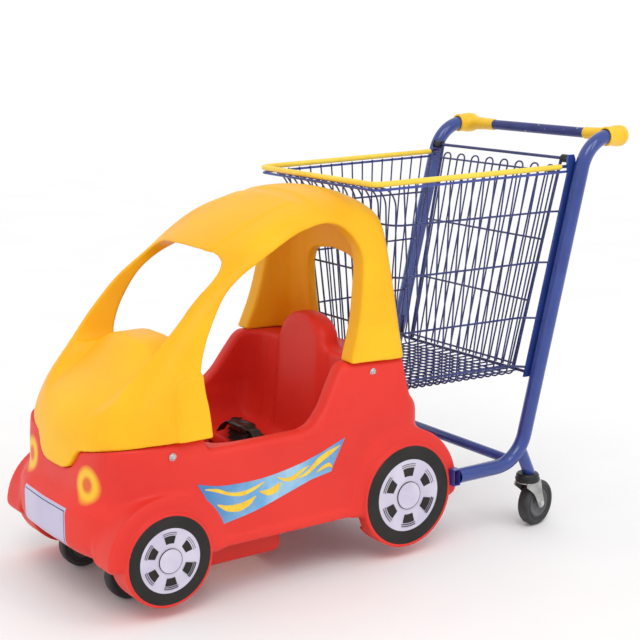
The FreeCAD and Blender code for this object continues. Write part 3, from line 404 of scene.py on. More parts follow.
BODY_LINE = [(-704, 60), (-704, 252), (-694, 300), (-676, 381), (-466, 381), (-457, 352), (-330, 351),
             (-214, 352), (-186, 363), (-156, 393), (-126, 440), (-103, 474), (-86, 486), (84, 479),
             (88, 440), (94, 400), (100, 386), (125, 372), (127, 60)]
BODY_PLAN = [(0, -704), (110, -702), (175, -684), (228, -642), (256, -580), (266, -500), (266, 56), (264, 92),
             (238, 122), (0, 127)]
BUMPER_PLAN = [(0, -731), (112, -727), (180, -706), (230, -667), (254, -620), (256, -560), (0, -560)]
CABIN = [(-432, 700), (-432, 205), (-270, 205), (-262, 262), (-70, 248), (-54, 300), (-36, 560), (-30, 700)]
SEAT_BACK = [(0, 560), (30, 558), (62, 548), (88, 524), (97, 490), (97, 200), (0, 200)]
BODY_BOX = (0, -748, 18), (292, 236, 572)
FRONT_WHEEL, REAR_WHEEL = (-569, 133), (67, 155)
ARCH_RADII = ((REAR_WHEEL, 157), (FRONT_WHEEL, 137))
ARCH_INNER, ARCH_FOOT = 190, 120
ARCH_STEPS = ((0, 268.5, 7, 16), (9, 272.5, 6, 5))
MOULDED_WHEELS = ((FRONT_WHEEL, 105, 205), (REAR_WHEEL, 127.5, 222))
WHEEL_RIM, WHEEL_FACE, RIM_WIDTH = 282, 279.6, 6.5
WAIST_Z, LEAN = 350, 0.19
HULL_EDGE, HULL_WALL, CABIN_WALL, HULL_FOOT = 22, 22, 11, 130
BUMPER_Z = (136, 240)
SILL_X, SILL_Y, SILL_Z = (200, 270.5), (-470, -60), (130, 150)
WELL_HALF, WELL_Y, WELL_Z = 176, (-436, -218), (46, 220)
FOOTWELL_HALF, FOOTWELL_Y, FOOTWELL_Z = 164, (-424, -228), (52, 300)
CABIN_HALF, BACK_Y, BACK_SLOPE = 222, (-54, 6), 0.08
FRAME_NOTCH = (187, 223), (60, 120), (90, 193)
FIT_GAP = 1.2


def lean(z):
    """How far the body's sides lean in above its waist."""
    return np.maximum(z - WAIST_Z, 0) * LEAN


def wheel_disc(x, y, z, centre, radius, inner, outer, edge):
    """A thick disc from inner to outer along X."""
    return both(disc(y, z, centre, radius), block(x, inner, outer), edge)


def hull_form(x, y, z):
    line = outline(rounded(BODY_LINE, 12), y, z)
    plan = outline(rounded(mirror_outline(BODY_PLAN), 26), x + lean(z), y)
    return both(line, plan, HULL_EDGE)


def outer_form(x, y, z, hull):
    """Hull, bumper, the well under the feet, arches, sill and moulded wheels, without the hollow."""
    bumper = both(outline(rounded(mirror_outline(BUMPER_PLAN), 24), x, y), block(z, *BUMPER_Z), 30)
    outer = either(both(hull, HULL_FOOT - z, 8), bumper, 28)
    well = both(both(block(y, *WELL_Y), x - WELL_HALF, 22), WELL_Z[0] - z, 20)
    outer = either(outer, both(well, z - WELL_Z[1], 4), 6)
    for centre, radius in ARCH_RADII:
        for inset, face, edge, fillet in ARCH_STEPS:
            arch = wheel_disc(x, y, z, centre, radius - inset, ARCH_INNER, face, edge)
            outer = either(outer, both(arch, ARCH_FOOT - z, 24), fillet)
    sill = both(both(block(y, *SILL_Y), block(z, *SILL_Z), 5), block(x, *SILL_X), 6)
    outer = either(outer, sill, 6)
    for centre, radius, inner in MOULDED_WHEELS:
        outer = either(outer, wheel_disc(x, y, z, centre, radius, inner, WHEEL_RIM, 7), 2.5)
        outer = less(outer, wheel_disc(x, y, z, centre, radius - RIM_WIDTH, WHEEL_FACE, 300, 1.5), 1.5)
    return outer


def cabin_form(x, y, z):
    """The space cut out for the child: cabin and footwell."""
    cabin = both(outline(rounded(CABIN, 24), y, z), x - CABIN_HALF + lean(z), 60)
    footwell = both(both(block(y, *FOOTWELL_Y), x - FOOTWELL_HALF, 24), FOOTWELL_Z[0] - z, 20)
    return either(cabin, both(footwell, z - FOOTWELL_Z[1], 4), 14)


def body_solid(x, y, z):
    """The red moulding: its outer form with the cabin cut in, a seat back and a hollow behind the seat."""
    hull, cabin = hull_form(x, y, z), cabin_form(x, y, z)
    back = outline(rounded(mirror_outline(SEAT_BACK), 16), x, z)
    back = both(back, block(y + BACK_SLOPE * (500 - z), *BACK_Y), 26)
    red = either(less(outer_form(x, y, z, hull), cabin, 13), back, 20)
    hollow = np.maximum(np.maximum(hull + HULL_WALL, -(cabin - CABIN_WALL)), -(back - CABIN_WALL))
    red = less(red, hollow, 2)
    notch_x, notch_y, notch_z = (block(value, *span) for value, span in zip((x, y, z), FRAME_NOTCH))
    red = less(red, np.maximum(np.maximum(notch_x, notch_y), notch_z), 2)
    tongue = -outline(rounded(mirror_outline(TONGUE_GAP), 8), x, z)
    proud = both(both(both(tongue, -4 - roof_form(x, y, z), 1), y + 450, 1), 290 - z, 1)
    red = less(red, proud, 1)
    return less(red, roof_solid(x, y, z) - FIT_GAP, 1.5)


roof = surface("roof_moulding", *on_grid(roof_solid, *ROOF_BOX, GRID), GRID)
declare(roof, ["car_roof"], "cart", "roof_yellow")
body = surface("body_moulding", *on_grid(body_solid, *BODY_BOX, GRID), GRID)
declare(body, ["car_body"], "cart", "body_red")


# -------- running gear


def both_ends(half):
    """A closed profile from its +X half, listed from the inside radius outwards."""
    return half + [(-x, r) for x, r in reversed(half)]


TYRE = rounded(both_ends([(13.2, 36.2), (14.2, 38), (14.2, 41), (12.6, 42), (12.6, 44.2), (14.2, 45.2),
                          (15.2, 47.5), (15.2, 50.5), (13.8, 54.4), (9.5, 57.2), (0.5, 57.5)]), 1.0, 4)
HUB = rounded(both_ends([(17, 4.4), (17, 8.6), (14.5, 10), (11.5, 12.5), (9.6, 15), (8.8, 21), (9.6, 27),
                         (12, 30), (12.8, 36)]), 1.0, 4)
AXLE_Z = 57.5
FORK_LEG = [(-26, 124), (30, 124), (33, 112), (40, 82), (47.5, 62), (48, 52), (42, 46), (33, 45.5), (26, 50),
            (21, 60), (8, 84), (-6, 97), (-20, 106), (-29, 112)]
FORK_BOX = (0, -32, 42), (31, 52, 125)
LEG_INSIDE, LEG_OUTSIDE = 17.7, 20.7
CROWN_LOW, CROWN_TOP, CROWN_RADIUS = 118.5, 121.7, 29.3
BRIDGE_Y, KINGPIN_HOLE, AXLE_HOLE = (-24, 29), 6.05, 4.1
TRAIL, TOE_OUT = 36, 12
SWIVEL_X, SWIVEL_Y = 282, 443
FRONT_X, FRONT_Y = 117, -583
NUT_RADIUS, NUT_HEIGHT = 7, 5.4


def turned(name, profile, segments=96):
    """A closed ring turned about X; profile is (place along X, radius) in millimetres."""
    turn = np.linspace(0, 2 * np.pi, segments, endpoint=False)[:, None]
    along, radius = np.array(profile).T
    points = np.stack([along + 0 * turn, radius * np.cos(turn), radius * np.sin(turn)], axis=2)
    index = np.arange(points.shape[0] * points.shape[1]).reshape(points.shape[:2])
    beside, after = np.roll(index, -1, axis=1), np.roll(index, -1, axis=0)
    faces = np.stack([index, beside, np.roll(after, -1, axis=1), after], axis=2).reshape(-1, 4)
    piece = mesh_piece(name, points.reshape(-1, 3) * MM, faces)
    piece.data.set_sharp_from_angle(angle=math.radians(38))
    return piece


def bolt(name, grip):
    """An axle bolt with a domed head on its -X end and a washer and nut on the other."""
    half = grip / 2
    head = [(-half - 4.8, 0.1), (-half - 4.6, 3), (-half - 3.8, 5.2), (-half - 2, 6.8), (-half - 0.2, 7.2)]
    washer = [(half + 0.2, 8.6), (half + 1.4, 8.6), (half + 1.4, 4)]
    profile = head + [(-half - 0.2, 4), (half + 0.2, 4)] + washer + [(half + 9, 3.8), (half + 9, 0.1)]
    piece = turned(name, rounded(profile, 0.5, 3), 48)
    nut = bmesh.new()
    nut.from_mesh(piece.data)
    made = bmesh.ops.create_cone(nut, cap_ends=True, segments=6, radius1=NUT_RADIUS * MM,
                                 radius2=NUT_RADIUS * MM, depth=NUT_HEIGHT * MM)
    turn = Matrix.Translation(Vector((half + 4.1, 0, 0)) * MM) @ Matrix.Rotation(math.pi / 2, 4, "Y")
    bmesh.ops.transform(nut, matrix=turn, verts=made["verts"])
    edges = list({edge for vertex in made["verts"] for edge in vertex.link_edges})
    bmesh.ops.bevel(nut, geom=edges, offset=0.6 * MM, segments=2, affect="EDGES")
    nut.to_mesh(piece.data)
    nut.free()
    piece.data.shade_smooth()
    piece.data.set_sharp_from_angle(angle=math.radians(35))
    return piece


def fork_solid(x, y, z):
    """The pressed yoke round its swivel axis: a round crown and two legs down to the axle."""
    from_axis = np.sqrt(x * x + y * y)
    crown = both(from_axis - CROWN_RADIUS, block(z, CROWN_LOW, CROWN_TOP), 1.4)
    bridge = both(both(x - LEG_OUTSIDE, block(y, *BRIDGE_Y), 5), block(z, CROWN_LOW, CROWN_TOP), 1.4)
    legs = both(outline(rounded(FORK_LEG, 12), y, z), block(x, LEG_INSIDE, LEG_OUTSIDE), 1.4)
    form = either(either(crown, bridge, 2), both(legs, z - CROWN_TOP, 2), 2.5)
    form = less(form, from_axis - KINGPIN_HOLE, 0.6)
    return less(form, disc(y, z, (TRAIL, AXLE_Z), AXLE_HOLE), 0.6)


def running_gear():
    """Rear forks and all bolts, hubs and tyres; the rear casters stand turned out a little."""
    step = 1.0
    fork = on_grid(fork_solid, *FORK_BOX, step)
    for side, sign in SIDES.items():
        yaw = TOE_OUT * sign
        swivel = Vector((SWIVEL_X * sign, SWIVEL_Y, 0))
        rear = swivel + Matrix.Rotation(math.radians(yaw), 3, "Z") @ Vector((0, TRAIL, AXLE_Z))
        front = Vector((FRONT_X * sign, FRONT_Y, AXLE_Z))
        outward = 0 if sign < 0 else 180
        yoke = place(surface(f"fork_plate_{side}", *fork, step, 1), swivel, yaw)
        declare(yoke, [f"rear_fork_{side}"], f"rear_fork_{side}", "fork_steel")
        for end, spot, turn, body in (("rear", rear, yaw, f"rear_fork_{side}"), ("front", front, 0, "cart")):
            axle = place(bolt(f"{end}_bolt_{side}", 2 * LEG_OUTSIDE), spot, outward + turn)
            declare(axle, [f"{end}_axle_{side}"], body, "fastener_steel")
        for end, spot, turn in (("rear", rear, yaw), ("front", front, 0)):
            wheel = f"{end}_wheel_{side}"
            tread = place(turned(f"{end}_tread_{side}", TYRE, 128), spot, turn)
            declare(tread, [f"{end}_tyre_{side}"], wheel, "tyre")
            core = place(turned(f"{end}_core_{side}", HUB), spot, turn)
            declare(core, [f"{end}_hub_{side}"], wheel, "hub_plastic")


running_gear()


# -------- handle corners

TUBE_X, BAR_Y, BAR_Z = 282, 709, 966
CORNER_BOX = (166, 660, 930), (316, 744, 1004)
CAP_RADIUS, CAP_BACK, CAP_FRONT = 24, 735.4, 667
SLEEVE_RADIUS, SLEEVE_FLARE, SLEEVE_END = 15.3, 3.5, 172.3
FLARE_START, FLARE_LENGTH = 172, 85
TUBE_BORE, TUBE_END, BAR_BORE, BAR_END = 18.4, 691, 11.3, 274


def corner_solid(x, y, z):
    """The right-hand corner: a cap over the tube's end that runs into a sleeve over the handle bar."""
    across, up = x - TUBE_X, z - BAR_Z
    from_tube = np.sqrt(across * across + up * up)
    around = from_tube - CAP_RADIUS
    from_bar = np.sqrt((y - BAR_Y) ** 2 + up * up)
    cap = np.maximum(both(around, y - CAP_BACK, 20), both(around, CAP_FRONT - y, 4))
    reach = np.clip((x - FLARE_START) / FLARE_LENGTH, 0, 1)
    sleeve = both(from_bar - (SLEEVE_RADIUS + SLEEVE_FLARE * reach**2), block(x, SLEEVE_END, TUBE_X), 3)
    form = either(cap, sleeve, 18)
    form = less(form, both(from_tube - TUBE_BORE, y - TUBE_END, 1), 1.5)
    return less(form, both(from_bar - BAR_BORE, x - BAR_END, 1), 1.5)


def handle_corners():
    step = 1.6
    low, high = CORNER_BOX
    x, y, z = (np.arange(low[i], high[i], step, dtype=np.float32) for i in range(3))
    field = corner_solid(x[:, None, None], y[None, :, None], z[None, None, :])
    field = np.broadcast_to(field, (x.size, y.size, z.size)).astype(np.float32)
    right = surface("corner_right", field, np.array(low, np.float32), step)
    declare(right, ["handle_corner_right"], "cart", "corner_plastic")
    declare(mirrored_copy(right, "corner_left"), ["handle_corner_left"], "cart", "corner_plastic")


handle_corners()


# -------- printed stickers

FILM, INK_STEP = 0.4, 0.12
PRINTED_WHEELS = (("front", FRONT_WHEEL, 98), ("rear", REAR_WHEEL, 119))
RIM_SHARE, CAP_EDGE, CAP_SHARE = 0.73, 0.385, 0.368
SLOT_BANDS = ((0.54, 0.775, 14.5, 0.5), (0.812, 0.828, 16.5, 0), (0.868, 0.884, 15.5, 0))
SIDE_WALL = 266
SIDE_STICKER = (curve([(-493, 283), (-440, 270), (-380, 266), (-317, 268), (-240, 280), (-180, 296),
                       (-107, 322)], 5)
                + curve([(-140, 262), (-145, 249)], 1)
                + curve([(-200, 240), (-262, 221), (-345, 197), (-428, 182)], 5)
                + curve([(-450, 214), (-472, 248)], 4))
FLOURISHES = [
    ([(-474, 268), (-444, 260), (-414, 247), (-380, 242), (-350, 248), (-324, 258)], [2, 8, 7, 10, 8, 2]),
    ([(-444, 228), (-420, 216), (-392, 212), (-366, 218), (-346, 230)], [3, 13, 18, 14, 2]),
    ([(-336, 238), (-316, 232), (-296, 236), (-282, 248)], [3, 14, 17, 3]),
    ([(-290, 262), (-268, 252), (-246, 254), (-228, 264), (-206, 274)], [2, 8, 11, 8, 2]),
    ([(-236, 250), (-214, 256), (-196, 268), (-176, 282), (-150, 294), (-122, 306)], [2, 8, 10, 14, 12, 2]),
    ([(-186, 254), (-170, 262), (-152, 266), (-144, 258)], [2, 8, 9, 2]),
]
NOSE_SEARCH, SIDE_SEARCH = (-760.0, -680.0), (200.0, 300.0)
PLATE = [(-104, 104, 147, 229, 0.5), (-101, 101, 221.6, 223.4, 0.75), (99.6, 101, 150, 221.6, 0.75)]


def print_sheet(name, layers, wall):
    """Printed vinyl on both sides of the car, in thin flat layers of ink that stand on x = wall."""
    sheet = bmesh.new()
    for level, (points, ink) in enumerate(layers):
        low, high = (-FILM, FILM) if level == 0 else (FILM / 2, FILM + INK_STEP * level)
        for sign in SIDES.values():
            under, over = ([sheet.verts.new(Vector((sign * (wall + lift), u, v)) * MM) for u, v in points]
                           for lift in (low, high))
            faces = [sheet.faces.new(under), sheet.faces.new(over)]
            faces += [sheet.faces.new((under[i - 1], under[i], over[i], over[i - 1]))
                      for i in range(len(points))]
            for face in faces:
                face.material_index = ink
            bmesh.ops.triangulate(sheet, faces=faces[:2])
    bmesh.ops.recalc_face_normals(sheet, faces=sheet.faces)
    mesh = bpy.data.meshes.new(name)
    sheet.to_mesh(mesh)
    sheet.free()
    return linked(name, mesh)


def ring_point(centre, radius, degrees):
    turn = math.radians(degrees)
    return centre[0] + radius * math.cos(turn), centre[1] + radius * math.sin(turn)


def circle(centre, radius, count=96):
    return [ring_point(centre, radius, 360 * i / count) for i in range(count)]


def band(centre, inner, outer, start, end, taper=0.0, count=10):
    """A piece of a ring; taper narrows its inner side by that many degrees at each end."""
    span, steps = end - start, range(count + 1)
    low = [ring_point(centre, inner, start + taper + (span - 2 * taper) * i / count) for i in steps]
    high = [ring_point(centre, outer, start + span * i / count) for i in steps]
    return low + high[::-1]


def wheel_print(centre, radius):
    """Black tyre, pale disc, six dark slots with a double line outside each, and a hub circle."""
    rim = RIM_SHARE * radius
    black, lilac, silver = 0, 1, 2
    layers = [(circle(centre, radius), black), (circle(centre, rim), lilac)]
    for middle in range(30, 360, 60):
        for inner, outer, half, taper in SLOT_BANDS:
            arc = band(centre, inner * rim, outer * rim, middle - half, middle + half, taper)
            layers.append((arc, black))
    layers += [(circle(centre, CAP_EDGE * rim, 64), black), (circle(centre, CAP_SHARE * rim, 64), silver)]
    return layers


def swoosh(points, widths):
    """The outline of a brush stroke along points, as wide as widths say."""
    line = np.array(curve(points, 6))
    along = np.gradient(line, axis=0)
    across = np.stack([-along[:, 1], along[:, 0]], axis=1) / np.linalg.norm(along, axis=1)[:, None]
    places, knots = np.linspace(0, 1, len(line)), np.linspace(0, 1, len(widths))
    wide = np.interp(places, knots, widths)[:, None] / 2
    return [tuple(p) for p in line + across * wide] + [tuple(p) for p in (line - across * wide)[::-1]]


def side_prints():
    """The prints on the four moulded wheels and on the car's sides."""
    for end, centre, radius in PRINTED_WHEELS:
        sheet = print_sheet(f"{end}_wheel_prints", wheel_print(centre, radius), WHEEL_FACE + FILM)
        declare(sheet, [f"{end}_wheel_stickers"], "cart", "wheel_sticker",
                ("print_black", "print_lilac", "print_silver"))
    layers = [(SIDE_STICKER, 0)] + [(swoosh(line, widths), 1) for line, widths in FLOURISHES]
    sheet = print_sheet("side_graphics", layers, SIDE_WALL + FILM / 2)
    declare(sheet, ["side_stickers"], "cart", "graphic_sticker", ("print_blue", "print_yellow"))


def skin_front(x, z):
    """y of the red moulding's front face at x and z, found by halving."""
    front, inside = (np.full(x.shape, limit) for limit in NOSE_SEARCH)
    for _ in range(14):
        middle = (front + inside) / 2
        solid = body_solid(np.abs(x), middle, z) < 0
        front, inside = np.where(solid, front, middle), np.where(solid, middle, inside)
    return inside


def bent_panel(name, patches, columns=28, rows=12):
    """Thin panels bent round the bumper's nose; patches are (x from, x to, z from, z to, height)."""
    points, faces = [], []
    for left, right, bottom, top, height in patches:
        x, z = np.meshgrid(np.linspace(left, right, columns), np.linspace(bottom, top, rows))
        nose = skin_front(x, z)
        start = len(points) * rows * columns
        for depth in (1.0, -FILM - height):
            points.append(np.stack([x, nose + depth, z], axis=2).reshape(-1, 3))
        grid = np.arange(rows * columns).reshape(rows, columns)
        for layer, order in ((0, 1), (1, -1)):
            near = start + layer * rows * columns + grid
            quad = np.stack([near[:-1, :-1], near[1:, :-1], near[1:, 1:], near[:-1, 1:]], axis=2)
            faces.append(quad.reshape(-1, 4)[:, ::order])
        rim = np.concatenate([grid[0, :-1], grid[:-1, -1], grid[-1, :0:-1], grid[:0:-1, 0]]) + start
        after = np.roll(rim, -1)
        faces.append(np.stack([rim, after, after + rows * columns, rim + rows * columns], axis=1))
    return mesh_piece(name, np.concatenate(points) * MM, np.concatenate(faces))


def front_plate():
    """The pale plate on the bumper with a dark line along its top and one side."""
    plate = bent_panel("front_plate", PLATE)
    white, navy = 0, 1
    inks = np.repeat([white, navy, navy], len(plate.data.polygons) // len(PLATE))
    plate.data.polygons.foreach_set("material_index", inks.astype(np.int32))
    declare(plate, ["plate_sticker"], "cart", "plate_sticker", ("print_white", "print_navy"))


side_prints()
front_plate()


# -------- screws and seat belt

SCREWS = ((-547, 352), (-14, 458))
SCREW = [(-16, 0.1), (-16, 3), (0.2, 3), (0.2, 8.6), (1.4, 8.6), (1.6, 6.6), (3.6, 6), (5, 3.6), (5.3, 2.2),
         (4.2, 1.2), (4.0, 0.1)]
STRAP_WIDTH, STRAP_THICK = 27, 2.2
BELT_Z = 265
FOLDS, FOLD_PITCH = 9, 3.4
BUCKLE_BOX = (0, -26, -3), (42, 26, 21)
BUCKLE_SPOT = (0, -214, 295)


def skin_side(y, z):
    """x of the red moulding's outer face on the right at y and z."""
    reach = np.arange(*SIDE_SEARCH, 0.5)
    solid = body_solid(reach, np.full_like(reach, y), np.full_like(reach, z)) < 0
    return float(reach[solid].max())


def screw_heads():
    """Pan heads with a round dimple, each on a washer and a short shank, two on each side of the car."""
    heads = []
    for sign in SIDES.values():
        for y, z in SCREWS:
            head = turned("head", rounded(SCREW, 0.5, 3), 40)
            heads.append(place(head, (sign * skin_side(y, z), y, z), 0 if sign > 0 else 180))
    return joined("roof_screw_heads", heads)


def strap(line):
    """Flat webbing along a line, level across its width, with rounded edges and closed ends."""
    wide, thick = STRAP_WIDTH / 2, STRAP_THICK / 2
    ring = rounded([(-wide, 0), (-wide + 1, thick), (wide - 1, thick), (wide, 0), (wide - 1, -thick),
                    (-wide + 1, -thick)], 1, 3)
    path = np.array(curve(line, 10))
    along = np.gradient(path, axis=0)
    along /= np.linalg.norm(along, axis=1)[:, None]
    across = np.cross(along, [0, 0, 1])
    across /= np.linalg.norm(across, axis=1)[:, None]
    up = np.cross(across, along)
    points = np.concatenate([path[i] + np.array([a * across[i] + b * up[i] for a, b in ring])
                             for i in range(len(path))])
    index = np.arange(len(points)).reshape(len(path), len(ring))
    beside = np.roll(index, -1, axis=1)
    faces = np.stack([index[:-1], beside[:-1], beside[1:], index[1:]], axis=2).reshape(-1, 4)
    piece = mesh_piece("webbing", points * MM, faces)
    ends = bmesh.new()
    ends.from_mesh(piece.data)
    bmesh.ops.holes_fill(ends, edges=[edge for edge in ends.edges if edge.is_boundary])
    bmesh.ops.recalc_face_normals(ends, faces=ends.faces)
    ends.to_mesh(piece.data)
    ends.free()
    return piece


def belt():
    """Two straps over the seat, two loose ends at the buckle and the folded rest under it."""
    straps = []
    for sign in SIDES.values():
        straps.append(strap([(31 * sign, -212, BELT_Z + 34), (56 * sign, -209, BELT_Z + 31),
                             (108 * sign, -186, BELT_Z + 15), (152 * sign, -150, BELT_Z + 3),
                             (196 * sign, -110, BELT_Z - 3)]))
        straps.append(strap([(34 * sign, -216, BELT_Z + 38), (54 * sign, -216, BELT_Z + 40),
                             (76 * sign, -219, BELT_Z + 27), (92 * sign, -222, BELT_Z + 8)]))
    for level in range(FOLDS):
        height = BELT_Z + FOLD_PITCH * level
        straps.append(strap([(-50 + 3 * (level % 3), -216 + level % 4, height), (0, -214, height + 2),
                             (46 - 4 * (level % 2), -218 + level % 3, height)]))
    declare(joined("lap_belt_webbing", straps), ["belt_webbing"], "cart", "belt_webbing")


def buckle_solid(x, y, z):
    """A side-release buckle: a rounded case with a narrower end and a slot on each side, and a dished top."""
    case = both(both(x - 27, block(y, -22, 22), 9), block(z, 0, 17), 6)
    ends = both(both(x - 38, block(y, -17, 17), 6), block(z, 2, 12), 4)
    slot = both(block(x, 30.5, 34), block(y, -13.5, 13.5), 1)
    dish = np.sqrt((x / 17) ** 2 + (y / 14) ** 2 + ((z - 19) / 5) ** 2) - 1
    return less(less(either(case, ends, 4), slot, 1), dish * 4, 1.5)


def buckle():
    step = 1.0
    piece = surface("lap_belt_buckle", *on_grid(buckle_solid, *BUCKLE_BOX, step), step, 1)
    declare(place(piece, BUCKLE_SPOT), ["belt_buckle"], "cart", "belt_buckle")


declare(screw_heads(), ["roof_screws"], "cart", "fastener_steel")
belt()
buckle()


# -------- materials


class Paint:
    """A new material, with short ways to add nodes in object space."""

    def __init__(self, name):
        self.material = bpy.data.materials.new(name)
        self.material.use_nodes = True
        self.nodes = self.material.node_tree.nodes
        self.shader = self.nodes["Principled BSDF"]
        places = self.nodes.new("ShaderNodeTexCoord")
        mapping = self.nodes.new("ShaderNodeMapping")
        self.link(places.outputs["Object"], mapping.inputs["Vector"])
        self.places = mapping.outputs["Vector"]

    def link(self, source, target):
        self.material.node_tree.links.new(source, target)

    def texture(self, kind, output, **settings):
        node = self.nodes.new(kind)
        for key, value in settings.items():
            node.inputs[key].default_value = value
        self.link(self.places, node.inputs["Vector"])
        return node.outputs[output]

    def noise(self, scale, detail=3.0):
        """Soft noise between 0 and 1."""
        return self.texture("ShaderNodeTexNoise", "Fac", Scale=scale, Detail=detail)

    def maths(self, kind, operation, source, output, other=None):
        """The output of one operation on a source, with a second value where it takes one."""
        node = self.nodes.new(kind)
        node.operation = operation
        self.link(source, node.inputs[0])
        if other is not None:
            node.inputs[1].default_value = other
        return node.outputs[output]

    def mix(self, factor, low, high):
        """A blend from low to high, each of them a colour or an output."""
        node = self.nodes.new("ShaderNodeMix")
        node.data_type = "RGBA"
        self.link(factor, node.inputs["Factor"])
        for socket, value in ((node.inputs["A"], low), (node.inputs["B"], high)):
            if isinstance(value, tuple):
                socket.default_value = (*value, 1)
            else:
                self.link(value, socket)
        return node.outputs["Result"]

    def spread(self, value, low, high, to_low, to_high):
        node = self.nodes.new("ShaderNodeMapRange")
        for key, number in (("From Min", low), ("From Max", high), ("To Min", to_low), ("To Max", to_high)):
            node.inputs[key].default_value = number
        self.link(value, node.inputs["Value"])
        return node.outputs["Result"]

    def bump(self, height, strength, distance):
        node = self.nodes.new("ShaderNodeBump")
        node.inputs["Strength"].default_value = strength
        node.inputs["Distance"].default_value = distance
        self.link(height, node.inputs["Height"])
        self.link(node.outputs["Normal"], self.shader.inputs["Normal"])


def flecks(tint, scale, size):
    """Small round flecks of tint."""
    def add(paint, color):
        distance = paint.texture("ShaderNodeTexVoronoi", "Distance", Scale=scale)
        return paint.mix(paint.spread(distance, size, size + 0.04, 1, 0), color, tint)
    return add


def fade_along(centre, near, far, tint):
    """Plain colour at a place along Y, running out to tint at some distance from it."""
    def add(paint, color):
        split = paint.nodes.new("ShaderNodeSeparateXYZ")
        paint.link(paint.places, split.inputs["Vector"])
        offset = paint.maths("ShaderNodeMath", "SUBTRACT", split.outputs["Y"], "Value", centre)
        away = paint.maths("ShaderNodeMath", "ABSOLUTE", offset, "Value")
        return paint.mix(paint.spread(away, near, far, 0, 0.9), color, tint)
    return add


def lamp_rings(spot, ring, middle):
    """A painted ring with a darker middle round a place on the right and its mirror image."""
    depth = 0.3

    def add(paint, color):
        flat = paint.maths("ShaderNodeVectorMath", "MULTIPLY", paint.places, "Vector", (1, depth, 1))
        right = paint.maths("ShaderNodeVectorMath", "ABSOLUTE", flat, "Vector")
        centre = (spot[0], -depth * spot[1], spot[2])
        distance = paint.maths("ShaderNodeVectorMath", "DISTANCE", right, "Value", centre)
        color = paint.mix(paint.spread(distance, 0.030, 0.044, 1, 0), color, ring)
        return paint.mix(paint.spread(distance, 0.012, 0.022, 1, 0), color, middle)
    return add


def finish(name, deep, pale, roughness, metallic=0.0, mottle=9, rough_range=0.06, grain=900, bump=0.05,
           coat=0.0, shine=0.38, marks=None):
    """A material with soft colour variation, uneven gloss and a fine grain; marks adds to its colour."""
    paint = Paint(name)
    for key, value in (("Metallic", metallic), ("Specular IOR Level", shine), ("Coat Weight", coat),
                       ("Coat Roughness", 0.08)):
        paint.shader.inputs[key].default_value = value
    color = paint.mix(paint.spread(paint.noise(mottle), 0.35, 0.65, 0, 1), deep, pale)
    if marks:
        color = marks(paint, color)
    paint.link(color, paint.shader.inputs["Base Color"])
    gloss = paint.spread(paint.noise(mottle * 4), 0.3, 0.7, roughness - rough_range, roughness + rough_range)
    paint.link(gloss, paint.shader.inputs["Roughness"])
    if bump:
        paint.bump(paint.noise(grain, 2.0), bump, 0.0006)
    return paint


def webbing(name):
    """Black woven strap: ribs across the belt with a slight sheen."""
    paint = finish(name, (0.008, 0.008, 0.009), (0.016, 0.016, 0.018), 0.62, mottle=60, bump=0)
    paint.bump(paint.texture("ShaderNodeTexWave", "Fac", Scale=190, Distortion=0.6), 0.5, 0.0008)
    paint.shader.inputs["Sheen Weight"].default_value = 0.05
    return paint


